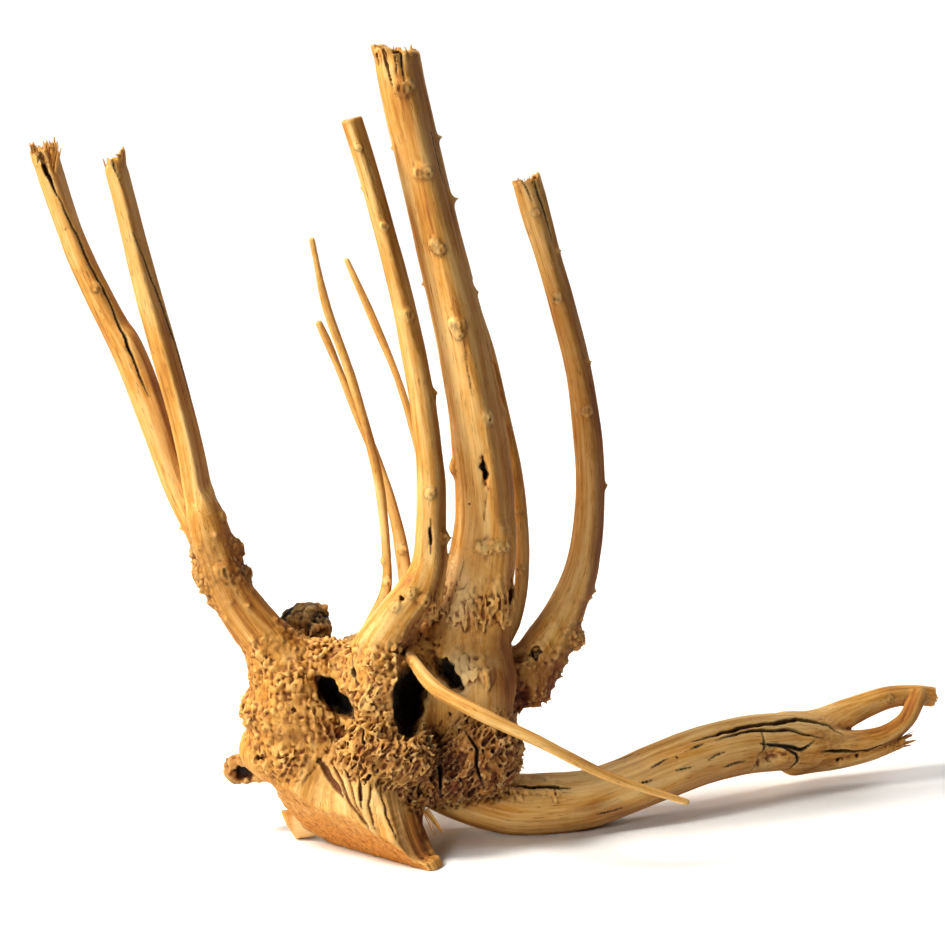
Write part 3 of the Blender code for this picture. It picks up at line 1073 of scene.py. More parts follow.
        # dark is painted shade in a pit, in a slit, between a burr's thorns and in the crease round a round
        # knot; a spur's tip is just darker
        if knot.kind is Mark.PIT:
            hole = np.sqrt(f * f + (u * 0.45) ** 2) - knot.size * (0.85 + 0.6 * wave)
            dn = smooth_cut(dn, -hole, 0.9)
            dark = 0.85 * ramp(hole, 0.3, -0.3) * ramp(u, 0.2, -1.6)
        elif knot.kind is Mark.SPIKE:
            t = np.clip((u + knot.size) / (knot.rise + knot.size), 0.0, 1.0)
            bend = f - knot.size * (1.0 - t) ** 1.3 * (0.95 + 0.3 * wave) - 0.25
            spike = np.maximum(bend * 0.8, u - knot.rise)
            dn = smooth_union(dn, spike, knot.size * 0.9)
            dark = 0.25 * ramp(u, 0.6 * knot.rise, knot.rise)
        else:
            size, rise = knot.size * 1.15, max(knot.rise, 0.3) * 1.05
            dome = np.sqrt(f * f + (u * size / rise) ** 2) - size
            dome *= min(1.0, rise / size + 0.35)
            if knot.kind is Mark.BURR:
                rough = 3.0 * NOISE.bumps(p[near] / 2.2, 1.2, 0.64)
                dn = smooth_union(dn, dome + 0.5 - rough, size * 1.1)
                dark = 0.3 * ramp(rough, 0.4, 0.0)
            elif knot.kind is Mark.EYE:
                dn = smooth_union(dn, dome - 0.5 * wave, size * 0.9)
                side, tall = np.abs(qn[:, 0]) - 0.4 * size, 0.4 * qn[:, 2]
                slit = np.sqrt(side ** 2 + tall ** 2 + (u - rise) ** 2) - 0.28 * size
                slit -= 0.3 * wave
                dn = smooth_cut(dn, -slit, 0.5)
                dark = 0.7 * ramp(slit, 0.3, -0.2)
            else:
                dn = smooth_union(dn, dome - 0.7 * wave, size * 1.1)
                side, tall = qn[:, 0] * 1.5 - 0.5 * size, qn[:, 2] + 0.3 * size
                pit = np.sqrt(side ** 2 + tall ** 2 + (u - rise) ** 2) - size * 0.34
                dn = smooth_cut(dn, -pit, 0.6)
                skirt = ramp(np.abs(f - 1.25 * size), 0.45 * size, 0.0)
                dark = np.maximum(ramp(pit, 0.4, -0.2) * 0.5, 0.35 * skirt)
        if hollow is not None:
            hollow[near, 2] = np.maximum(hollow[near, 2], dark)
        d = d.copy()
        d[near] = dn
        return d


# ---------------------------------------------------------------- the skin of the wood


@dataclass
class Surface:
    """The finished skin: points, four-sided faces and what the wood is like at each point."""

    points: Array
    faces: Array
    grain: Array
    lead: Array
    kind: Array
    hollow: Array
    shade: Array
    normals: Array = field(default_factory=lambda: np.zeros((0, 3), np.float32))
    relief: Array = field(default_factory=lambda: np.zeros(0, np.float32))


class Skinner:
    """Lays a skin of four-sided faces on the wood, one tile of the grid at a time.

    Every grid cell that the surface passes through gets one point, at the mean of the
    places where the surface crosses the cell's edges, and every crossed edge joins the
    four cells around it with one face.
    """

    CORNERS = np.array(list(np.ndindex(2, 2, 2)), np.int32)
    AROUND = ((-1, -1), (0, -1), (0, 0), (-1, 0))

    def __init__(self, wood: Wood, low: Array, high: Array) -> None:
        """Sets the grid.

        Args:
            wood: The wood.
            low: Lowest corner of the space to search, mm.
            high: Highest corner, mm.
        """
        self.wood = wood
        self.low = np.floor(np.asarray(low) / CELL) * CELL
        self.tiles = np.ceil((np.asarray(high) - self.low) / (CELL * SUB * TILE)).astype(int)
        self.width = self.tiles * SUB * TILE + 2

    def place(self, index: Array) -> Array:
        """Place of grid nodes, mm."""
        return (self.low + index * CELL).astype(np.float32)

    def number(self, index: Array) -> Array:
        """One number for each grid cell."""
        i = index.astype(np.int64) + 1
        return (i[..., 0] * self.width[1] + i[..., 1]) * self.width[2] + i[..., 2]

    def run(self) -> Surface:
        """Works through the tiles and joins what they give into one skin."""
        parts = []
        size = CELL * SUB * TILE
        for tile in np.ndindex(*self.tiles):
            corner = np.array(tile) * SUB * TILE
            centre = self.place(corner + SUB * TILE / 2)
            local = self.wood.local(centre, size * 0.87)
            if local.limbs or local.lumps:
                part = self.tile(corner, local)
                if part is not None:
                    parts.append(part)
        numbers = np.concatenate([p[0] for p in parts])
        order = np.argsort(numbers)
        gather = [np.concatenate([p[i] for p in parts])[order] for i in range(1, 7)]
        faces = np.concatenate([p[7] for p in parts])
        numbers = numbers[order]
        seat = np.minimum(np.searchsorted(numbers, faces), len(numbers) - 1)
        found = (numbers[seat] == faces).all(axis=1)
        if not found.all():
            log.warning("%d faces had no cell", int((~found).sum()))
        return Surface(gather[0], seat[found], *gather[1:])

    def tile(self, corner: Array, local: Local) -> tuple[Array, ...] | None:
        """Points and faces of one tile.

        Args:
            corner: The tile's first grid node.
            local: The parts of the wood that matter here.

        Returns:
            Cell numbers, points, grain, lead, kind, hollow, shade and faces, or None.
        """
        blocks = np.array(list(np.ndindex(TILE, TILE, TILE)), np.int32) * SUB + corner
        middle = self.wood.rough(self.place(blocks + SUB / 2), local)
        blocks = blocks[np.abs(middle) < CELL * SUB * 0.87 + SKIN_DEPTH]
        if not len(blocks):
            return None
        nodes = np.array(list(np.ndindex(SUB + 1, SUB + 1, SUB + 1)), np.int32)
        index = (blocks[:, None] + nodes[None]).reshape(-1, 3)
        d = self.wood.skin(self.place(index), local).distance
        d = d.reshape(len(blocks), SUB + 1, SUB + 1, SUB + 1)
        inside = d < 0.0
        count = sum(inside[:, i:i + SUB, j:j + SUB, k:k + SUB].astype(np.int8)
                    for i, j, k in self.CORNERS)
        b, i, j, k = np.nonzero((count > 0) & (count < 8))
        if not len(b):
            return None
        cell = np.stack((i, j, k), axis=1)
        value = np.stack([d[b, i + c[0], j + c[1], k + c[2]] for c in self.CORNERS], axis=1)
        total = np.zeros((len(b), 3), np.float32)
        hits = np.zeros(len(b), np.float32)
        for one, c in enumerate(self.CORNERS):
            for axis in range(3):
                if c[axis]:
                    continue
                other = one + (4, 2, 1)[axis]
                v0, v1 = value[:, one], value[:, other]
                cross = (v0 < 0.0) != (v1 < 0.0)
                at = np.where(cross, v0 / np.where(cross, v0 - v1, 1.0), 0.0)
                total += cross[:, None] * c
                total[:, axis] += at
                hits += cross
        spot = self.place(blocks[b] + cell + total / hits[:, None])
        faces = [np.zeros((0, 4), np.int64)]
        for axis in range(3):
            u, v = (axis + 1) % 3, (axis + 2) % 3
            here = inside[:, :SUB, :SUB, :SUB]
            reach = [slice(0, SUB)] * 3
            reach[axis] = slice(1, SUB + 1)
            there = inside[(slice(None), *reach)]
            bb, ii, jj, kk = np.nonzero(here != there)
            if not len(bb):
                continue
            node = blocks[bb] + np.stack((ii, jj, kk), axis=1)
            ring = np.repeat(node[:, None], 4, axis=1)
            for place, (du, dv) in enumerate(self.AROUND):
                ring[:, place, u] += du
                ring[:, place, v] += dv
            ids = self.number(ring)
            out = here[bb, ii, jj, kk]
            faces.append(np.where(out[:, None], ids, ids[:, ::-1]))
        sample = self.wood.skin(spot, local, marks=True)
        return (self.number(blocks[b] + cell), spot, sample.grain, sample.lead, sample.kind,
                sample.hollow, sample.shade, np.concatenate(faces))


def drop_crumbs(skin: Surface) -> None:
    """Takes away the loose crumbs: parts of the skin that hang on nothing larger.

    Every point takes the lowest number among the points it is joined to, again and again,
    until each part of the skin has one number.

    Args:
        skin: The skin, changed in place.
    """
    label = np.arange(len(skin.points))
    one, two = skin.faces[:, :3].ravel(), skin.faces[:, 1:].ravel()
    while True:
        low, high = np.minimum(label[one], label[two]), np.maximum(label[one], label[two])
        apart = low < high
        if not apart.any():
            break
        np.minimum.at(label, high[apart], low[apart])
        root = label[label]
        while (root != label).any():
            label, root = root, root[root]
    part = label[skin.faces[:, 0]]
    large = np.bincount(part)[part] > CRUMB * len(skin.faces)
    log.info("crumbs taken away: %d faces", int((~large).sum()))
    skin.faces = skin.faces[large]


def finish_surface(skin: Surface) -> None:
    """Adds the skin's normals, its relief: how far each point lies below its ring, and painted shade:
    browner wood on the side turned from the key lamp.

    A normal is the sum of the face normals round a point. Relief is the distance from a
    point to the mean of its neighbours along the normal, spread over a few rings.

    Args:
        skin: The skin, changed in place.
    """
    p, f = skin.points.astype(np.float64), skin.faces
    face_normal = np.cross(p[f[:, 2]] - p[f[:, 0]], p[f[:, 3]] - p[f[:, 1]])
    normals = np.zeros_like(p)
    for axis in range(3):
        normals[:, axis] = np.bincount(f.ravel(), np.repeat(face_normal[:, axis], 4), len(p))
    normals /= np.linalg.norm(normals, axis=1, keepdims=True) + 1e-12
    one = np.concatenate([f[:, i] for i in range(4)])
    two = np.concatenate([f[:, (i + 1) % 4] for i in range(4)])
    count = np.bincount(one, minlength=len(p)) + np.bincount(two, minlength=len(p)) + 1e-9

    def spread(values: Array) -> Array:
        """Mean of each point's neighbours."""
        total = np.bincount(one, values[two], len(p)) + np.bincount(two, values[one], len(p))
        return total / count

    ring = p.copy()
    relief = np.zeros(len(p))
    for turn in range(max(RELIEF_SHARES) + 1):
        ring = np.stack([spread(ring[:, a]) for a in range(3)], axis=1)
        if turn in RELIEF_SHARES:
            relief += np.einsum("ij,ij->i", ring - p, normals) * RELIEF_SHARES[turn]
    relief = 0.5 * relief + 0.5 * spread(relief)
    skin.normals = normals.astype(np.float32)
    # painted shade: the wood is made browner on the side turned from the key lamp
    shade_side = np.array(PAINTED_SHADE_SIDE) / np.linalg.norm(PAINTED_SHADE_SIDE)
    skin.shade = (skin.shade - PAINTED_SHADE_BROWN * ramp(normals @ shade_side, -0.05, 0.75)).astype(np.float32)
    skin.relief = (relief / CELL).astype(np.float32)


# ---------------------------------------------------------------- meshes


def close_holes(mesh: bpy.types.Mesh) -> None:
    """Fills the open edges inside the wood, where a piece is parted from its neighbours.

    A loop of edges that touches itself can't be filled this way and stays open.

    Args:
        mesh: The piece's mesh, changed in place.
    """
    work = bmesh.new()
    work.from_mesh(mesh)
    rim = [edge for edge in work.edges if edge.is_boundary]
    filled = bmesh.ops.holes_fill(work, edges=rim, sides=0)["faces"]
    bmesh.ops.triangulate(work, faces=filled)
    work.to_mesh(mesh)
    work.free()


def make_mesh(
    name: str,
    points: Array,
    quads: Array,
    triangles: Array,
    material: bpy.types.Material,
    normals: Array | None = None,
    marks: dict[str, Array] | None = None,
) -> bpy.types.Object:
    """Makes an object from arrays, in metres, and puts it in the scene.

    Args:
        name: Name of the piece.
        points: Points, mm.
        quads: Four-sided faces.
        triangles: Three-sided faces.
        material: Its finish.
        normals: Normals at the points, or None for the mesh's own.
        marks: Attributes at the points, each N x 3 or N.

    Returns:
        The object.
    """
    mesh = bpy.data.meshes.new(name)
    loops = np.concatenate((quads.ravel(), triangles.ravel())).astype(np.int32)
    sizes = np.concatenate((np.full(len(quads), 4), np.full(len(triangles), 3))).astype(np.int32)
    starts = (np.cumsum(sizes) - sizes).astype(np.int32)
    mesh.vertices.add(len(points))
    mesh.vertices.foreach_set("co", (points.astype(np.float64) * MM).astype(np.float32).ravel())
    mesh.loops.add(len(loops))
    mesh.loops.foreach_set("vertex_index", loops)
    mesh.polygons.add(len(sizes))
    mesh.polygons.foreach_set("loop_start", starts)
    mesh.update(calc_edges=True)
    mesh.validate()
    mesh.polygons.foreach_set("use_smooth", np.ones(len(mesh.polygons), bool))
    for key, values in (marks or {}).items():
        shape = "FLOAT_VECTOR" if values.ndim == 2 else "FLOAT"
        layer = mesh.attributes.new(key, shape, "POINT")
        layer.data.foreach_set("vector" if values.ndim == 2 else "value",
                               values.astype(np.float32).ravel())
    if normals is not None:
        mesh.normals_split_custom_set_from_vertices(normals.astype(np.float32))
    mesh.materials.append(material)
    made = bpy.data.objects.new(name, mesh)
    bpy.context.scene.collection.objects.link(made)
    return made


def tubes(paths: Array, radii: Array, sides: int) -> tuple[Array, Array, Array]:
    """Closed tapering tubes along many paths at once.

    Each ring is the path point plus the radius times two directions across the path,
    turned by the cosine and sine of the ring's angle. Each end is closed by a fan.

    Args:
        paths: Path points, tubes x points x 3.
        radii: Radii, tubes x points.
        sides: Number of sides.

    Returns:
        Points, four-sided faces and end triangles.
    """
    count, length = radii.shape
    along = np.gradient(paths, axis=1)
    along /= np.linalg.norm(along, axis=2, keepdims=True) + 1e-9
    side = np.cross(along, np.array((0.31, 0.9, 0.27)))
    side /= np.linalg.norm(side, axis=2, keepdims=True) + 1e-9
    other = np.cross(along, side)
    turn = np.arange(sides) * 2 * math.pi / sides
    ring = (paths[:, :, None] + radii[:, :, None, None] * (
        side[:, :, None] * np.cos(turn)[None, None, :, None]
        + other[:, :, None] * np.sin(turn)[None, None, :, None]))
    points = np.concatenate((ring.reshape(-1, 3), paths[:, 0], paths[:, -1]))
    base = np.arange(count)[:, None, None] * length * sides
    i = np.arange(length - 1)[None, :, None] * sides
    j = np.arange(sides)[None, None, :]
    k = (np.arange(sides) + 1)[None, None, :] % sides
    quads = np.stack([base + i + j, base + i + k, base + i + sides + k, base + i + sides + j],
                     axis=-1).reshape(-1, 4)
    first = count * length * sides + np.arange(count)[:, None]
    last = first + count
    ends = base[:, 0]
    top = ends + (length - 1) * sides
    j, k = j[0], k[0]
    fans = np.concatenate((
        np.stack(np.broadcast_arrays(ends + k, ends + j, first), axis=-1).reshape(-1, 3),
        np.stack(np.broadcast_arrays(top + j, top + k, last), axis=-1).reshape(-1, 3)))
    return points, quads, fans


# ---------------------------------------------------------------- finishes


def linear(code: str) -> tuple[float, float, float, float]:
    """Linear colour of an sRGB hex code such as "F0D69A"."""
    parts = [int(code[i:i + 2], 16) / 255.0 for i in (0, 2, 4)]
    return (*(c / 12.92 if c <= 0.04045 else ((c + 0.055) / 1.055) ** 2.4 for c in parts), 1.0)


class Nodes:
    """A material's node tree, filled one node at a time."""

    def __init__(self, name: str) -> None:
        """Makes an empty node material.

        Args:
            name: Name of the material.
        """
        self.material = bpy.data.materials.new(name)
        self.material.use_nodes = True
        self.tree = self.material.node_tree
        self.tree.nodes.clear()

    def add(self, kind: str, settings: dict | None = None, stops: tuple = (),
            **inputs: object) -> bpy.types.Node:
        """Adds a node, sets its settings and fills or links its inputs.

        Args:
            kind: Node type name, without the ShaderNode it starts with.
            settings: Properties of the node.
            stops: Place and sRGB hex colour of each stop of a colour ramp.
            **inputs: Socket by name with _ for a space, or i0, i1, ... by place; a value,
                a node (its main output) or a pair of node and output name.

        Returns:
            The node.
        """
        node = self.tree.nodes.new("ShaderNode" + kind)
        for key, value in (settings or {}).items():
            setattr(node, key, value)
        if stops:
            marks = node.color_ramp.elements
            while len(marks) < len(stops):
                marks.new(0.5)
            for mark, (at, code) in zip(marks, stops):
                mark.position, mark.color = at, linear(code)
        for key, value in inputs.items():
            by_place = key[0] == "i" and key[1:].isdigit()
            socket = node.inputs[int(key[1:]) if by_place else key.replace("_", " ")]
            if isinstance(value, bpy.types.Node):
                value = (value, COLOUR_OUTPUT if value.bl_idname == "ShaderNodeMix" else 0)
            if isinstance(value, tuple) and isinstance(value[0], bpy.types.Node):
                self.tree.links.new(value[0].outputs[value[1]], socket)
            else:
                socket.default_value = value
        return node


@dataclass(frozen=True)
class BleachedWood:
    """Dry driftwood: barkless hardwood bleached by sun and water, matt, with its grain showing as cream and
    ochre streaks, and painted shade making every crevice darker."""

    name: str = "bleached_driftwood"
    cream: str = "E8C280"
    straw: str = "D39C4A"
    ochre: str = "A96A25"
    brown: str = "744216"
    # near-black painted shade inside holes, cracks and knot pits
    pit: str = "170C06"
    cut_face: str = "CB8A38"
    bark: str = "2A190C"
    roughness: float = 0.68
    ior: float = 1.46

    def build(self) -> bpy.types.Material:
        """Makes the material: streaks, patches, burl, cut faces, bark, painted shade in crevices, holes and
        cracks, and painted light and shade from the shade mark.
        """
        n = Nodes(self.name)
        grain, kind, holes, relief, shade = (
            n.add("Attribute", {"attribute_name": name})
            for name in ("grain", "kind", "hollow", "relief", "shade"))
        where = n.add("TexCoord")
        kinds = n.add("SeparateXYZ", Vector=(kind, "Vector"))
        hole = n.add("SeparateXYZ", Vector=(holes, "Vector"))
        burl, cut, bark = (kinds, "X"), (kinds, "Y"), (kinds, "Z")

        def share(value: object, part: float, settings: dict = PRODUCT) -> bpy.types.Node:
            """A part of a value."""
            return n.add("Math", settings, i0=value, i1=part)

        # patterns along the grain, by width and length in mm: bands 4 mm wide and 70 mm long,
        # finer ones 1.1 mm wide, hairs, and pores drawn out along the grain
        fibres = []
        for across, along, detail, rough in (
                (4.2, 70.0, 3.0, 0.55), (1.1, 24.0, 3.0, 0.6), (0.45, 9.0, 2.0, 0.6),
                (0.6, 6.0, 1.0, 0.55)):
            cells = n.add("VectorMath", PRODUCT, i0=(grain, "Vector"),
                          i1=(1 / across, 1 / across, 1 / along))
            fibres.append(n.add("TexNoise", Vector=cells, Scale=1.0, Detail=detail, Roughness=rough))
        broad, fine, hair, pore = fibres
        # even patterns, by cells in a metre: slow change, speckle, dots and crumbled bark
        slow, speck, dots, crumble = (
            n.add("TexNoise", Vector=(where, "Object"), Scale=scale, Detail=detail, Roughness=rough)
            for scale, detail, rough in (
                (26.0, 3.0, 0.55), (210.0, 4.0, 0.62), (700.0, 3.0, 0.7), (380.0, 4.0, 0.65)))

        tone = share(broad, 0.52)
        for part in (share(fine, 0.30), share(slow, 0.34)):
            tone = n.add("Math", SUM, i0=tone, i1=part)
        wood = n.add("ValToRGB", Fac=tone, stops=(
            (0.31, self.brown), (0.44, self.ochre), (0.55, self.straw), (0.68, self.cream)))
        pores = n.add("ValToRGB", Fac=pore, stops=((0.27, "8A5A2C"), (0.36, "FFFFFF")))
        knotty = n.add("ValToRGB", Fac=speck, stops=(
            (0.30, "8A5218"), (0.44, "B57C2E"), (0.58, "D4A04E"), (0.72, "E6C07C")))
        raw = n.add("ValToRGB", Fac=dots, stops=(
            (0.28, "A15F1E"), (0.48, self.cut_face), (0.72, "DDA650")))
        barky = n.add("ValToRGB", Fac=crumble, stops=(
            (0.35, "160D07"), (0.55, self.bark), (0.72, "5E3D20")))

        # from the relief: points lying below their ring get painted shade, points standing above it a paler
        # worn tone with painted highlight
        deep, worn = (
            n.add("MapRange", {"interpolation_type": "SMOOTHSTEP"}, Value=(relief, "Fac"),
                  i1=low, i2=high, i3=0.0, i4=1.0)
            for low, high in ((0.0, 0.42), (-0.05, -0.8)))
        # painted shade: holes, cracks and knots are darkened towards near-black
        dark = (hole, "X")
        for axis, part in (("Y", 0.92), ("Z", 0.75)):
            dark = n.add("Math", GREATER, i0=dark, i1=share((hole, axis), part))
        # each layer lies over the ones before it: how much of it, its colour and how it mixes
        for amount, colour, blend in (
                (0.55, pores, MULTIPLIED),
                # painted light: the shade mark above nought turns the wood paler, along with the wood's own
                # paler tone
                (share((shade, "Fac"), 0.55, CLAMPED), linear("F0D9A6"), MIXED),
                (share(burl, 0.75), knotty, MIXED),       # burl is closer and more orange
                # painted shade: the shade mark below nought turns the wood browner, along with the wood's
                # own browner tone
                (share((shade, "Fac"), -1.0, CLAMPED), linear("8F6030"), MULTIPLIED),
                (cut, raw, MIXED),                        # raw, finely dotted end grain
                (bark, barky, MIXED),
                (share(deep, 0.85), linear("8A4C16"), MULTIPLIED),   # painted shade: darker in crevices
                (share(worn, 0.4), linear("F4DA98"), MIXED),         # worn high points, paler also as painted highlight
                (dark, linear(self.pit), MIXED)):
            wood = n.add("Mix", blend, i0=amount, i6=wood, i7=colour)

        height = share(fine, 0.5)
        for part in (share(hair, 0.35), n.add("Math", PRODUCT, i0=speck, i1=share(burl, 1.2)),
                     n.add("Math", PRODUCT, i0=dots, i1=share(cut, 0.8))):
            height = n.add("Math", SUM, i0=height, i1=part)
        bump = n.add("Bump", Strength=0.75, Distance=0.0005, Height=height)
        rough = n.add("MapRange", Value=fine, i1=0.3, i2=0.7,
                      i3=self.roughness - 0.08, i4=self.roughness + 0.12)
        shader = n.add("BsdfPrincipled", Base_Color=wood, Roughness=rough, IOR=self.ior, Normal=bump)
        n.add("OutputMaterial", Surface=shader)
        return n.material


@dataclass(frozen=True)
class PaleFloor:
    """Matt white studio paper: flat and even, which leaves only a soft shadow."""

    name: str = "studio_paper"
    colour: str = "FAFAFA"

    def build(self) -> bpy.types.Material:
        """Makes the material, with the faintest mottle."""
        n = Nodes(self.name)
        where = n.add("TexCoord")
        mottle = n.add("TexNoise", Vector=(where, "Object"), Scale=6.0, Detail=2.0)
        colour = n.add("ValToRGB", Fac=mottle, stops=((0.3, self.colour), (0.7, "FCFCFC")))
        shader = n.add("BsdfPrincipled", Base_Color=colour, Roughness=0.9, IOR=1.4)
        n.add("OutputMaterial", Surface=shader)
        return n.material


# ---------------------------------------------------------------- the driftwood


def crown_lumps() -> tuple[Lump, ...]:
    """The masses that the crown is grown from."""
    return (
        Lump("core", (-64, -30, 52), (32, 22, 30)),
        Lump("left_lobe", (-95, -38, 62), (23, 22, 26)),
        Lump("left_shoulder", (-100, -36, 84), (14, 13, 13)),
        Lump("left_low_lobe", (-96, -40, 44), (23, 19, 16)),
        Lump("saddle", (-76, -34, 78), (16, 18, 14)),
        Lump("middle_lobe", (-57, -48, 72), (16, 17, 24), 6.0),
        Lump("middle_low_lobe", (-54, -50, 46), (22, 18, 17), 5.0),
        Lump("right_neck", (-16, -24, 66), (19, 19, 24)),
        Lump("right_lobe", (-13, -33, 42), (19, 21, 20), 5.0),
        Lump("right_low_lobe", (-30, -36, 32), (16, 18, 14), 5.0),
        Lump("back_mass", (-50, -10, 58), (44, 22, 34)),
        Lump("back_bulge", (-20, 0, 50), (24, 18, 26)),
        Lump("bark_mass", (-91, -14, 90), (12.5, 12, 13), 3.0),
        Lump("foot_web", (-67, -46, 20), (22, 17, 26), 5.0),
        Lump("limb_burl", (10, -5, 67), (11, 12, 12), 5.0),
        Lump("neck_burl", (-39, -18, 84), (10, 10, 12), 4.0),
    )


def hollows() -> tuple[Lump, ...]:
    """The rotted holes, and the places where the wood is scooped out."""
    return (
        Lump("rot_hole", (-76, -60, 70.5), (13, 25, 5.6), 1.0, 50),
        Lump("crotch_pocket", (-42, -52, 74), (8.8, 30, 20), 1.2, 6),
        Lump("crotch_side", (-31, -46, 81), (14.5, 20, 5.2), 1.5, 40),
        Lump("root_mouth", (-118, -34, 29), (6.5, 9, 5.2), 1.0),
        Lump("limb_pit", (6, -22, 60), (7, 8, 7), 2.0),
        Lump("trunk_slot", (-11, -30, 168), (1.2, 6, 6.8), 2.0, -6),
        Lump("neck_slot", (1.6, -25, 115), (1.8, 8, 9.5), 1.6, 10),
        Lump("root_scoop", (133, 17, 20.5), (19, 9.5, 8.5), 1.2),
        Lump("foot_scoop", (-29.5, -68, 18), (9.5, 22, 10.5), 2.0),
    )


def stems() -> tuple[Limb, ...]:
    """The five thick stems, from their broken ends down to the crown."""
    return (
        Limb("left_stem", (
            (-84, -32, 60, 16), (-99, -36, 81, 13.4), (-108, -37, 95, 11.6), (-118, -37, 109, 10.4),
            (-125, -36, 122, 9.9), (-130, -35, 138, 9), (-133, -35, 149, 7.6)), 6.0,
            piece="left_fork"),
        Limb("left_front_branch", (
            (-128, -35, 132, 8), (-134, -35, 152, 7.2), (-138, -35, 176, 6.5), (-144, -33, 202, 6.2),
            (-151, -31, 228, 6), (-158, -29, 254, 5.8), (-164, -28, 280, 5.6),
            (-170, -27, 305, 5.3)), 2.5, Tip(End.JAGGED, 1.6, 2.6, 0.5, cup=1.5),
            (Flat(-28, 0.78, 0.12, 1.0, 0.9), Flat(62, 0.5, 0.15, 1.0, 0.9)), piece="left_fork"),
        Limb("left_back_branch", (
            (-128, -32, 124, 7), (-137, -28, 142, 6), (-146, -23, 160, 6), (-155, -19, 186, 6.3),
            (-165, -13, 212, 6.7), (-178, -9, 238, 6), (-190, -5, 264, 5.6), (-199, -1, 290, 6.2),
            (-204, 1, 306, 6.8)), 2.5, Tip(End.FRAYED, 2.6, 1.5, cup=5.0),
            (Flat(60, 0.7, 0.55, 1.0, 1.2),), piece="left_fork"),
        Limb("second_stem", (
            (-60, -46, 76, 15), (-56, -46, 90, 12.5), (-49, -44, 103, 10.4), (-41, -41, 114, 9.6),
            (-35, -38, 126, 8.2), (-34, -36, 144, 6.7), (-34, -33, 168, 6.2), (-37, -30, 194, 5.6),
            (-43, -27, 227, 5.1), (-49, -25, 254, 5), (-59, -22, 292, 4.8), (-68, -20, 321, 4.8)),
            5.0, Tip(End.SAWN), (Flat(62, 0.74, 0.05, 0.5, 1.4), Flat(50, 0.8, 0.6, 1.0, 1.2)),
            piece="second_stem"),
        Limb("trunk", (
            (-19, -20, 50, 18), (-17, -19, 74, 17.8), (-15, -18, 100, 16.4), (-12, -17, 118, 15),
            (-10, -17, 145, 13.7), (-12, -17, 172, 13.1), (-16, -17, 199, 12.4),
            (-21, -16, 226, 11.9), (-27, -15, 252, 11), (-36, -13, 290, 10.5),
            (-45, -11, 330, 10.4), (-49, -11, 350, 10.4)), 7.0,
            Tip(End.JAGGED, 1.5, 2.8, -0.36, 0.1, cup=2.5), (Flat(62, 0.8, 0.3, 1.0, 1.6),
                                                   Flat(-50, 0.88, 0.25, 1.0, 3.0)),
            ridge=0.3, piece="main_trunk"),
        Limb("right_limb", (
            (-10, -8, 60, 12), (4, -5, 68, 12.5), (14, -3, 77, 11.6), (22, -1, 89, 9.8),
            (28, 2, 101, 8.4), (33, 4, 115, 7.4), (36, 6, 133, 7), (37, 7, 155, 6.7),
            (35, 9, 181, 6.7), (31, 11, 207, 6.2), (24, 13, 234, 6.2), (16, 15, 262, 6.3),
            (8, 17, 290, 6.6)), 5.0, Tip(End.JAGGED, 1.8, 2.2, -0.05, cup=3.0),
            (Flat(55, 0.8, 0.3, 1.0, 1.6), Flat(-45, 0.86, 0.4, 1.0, 2.0)), piece="right_limb"),
    )


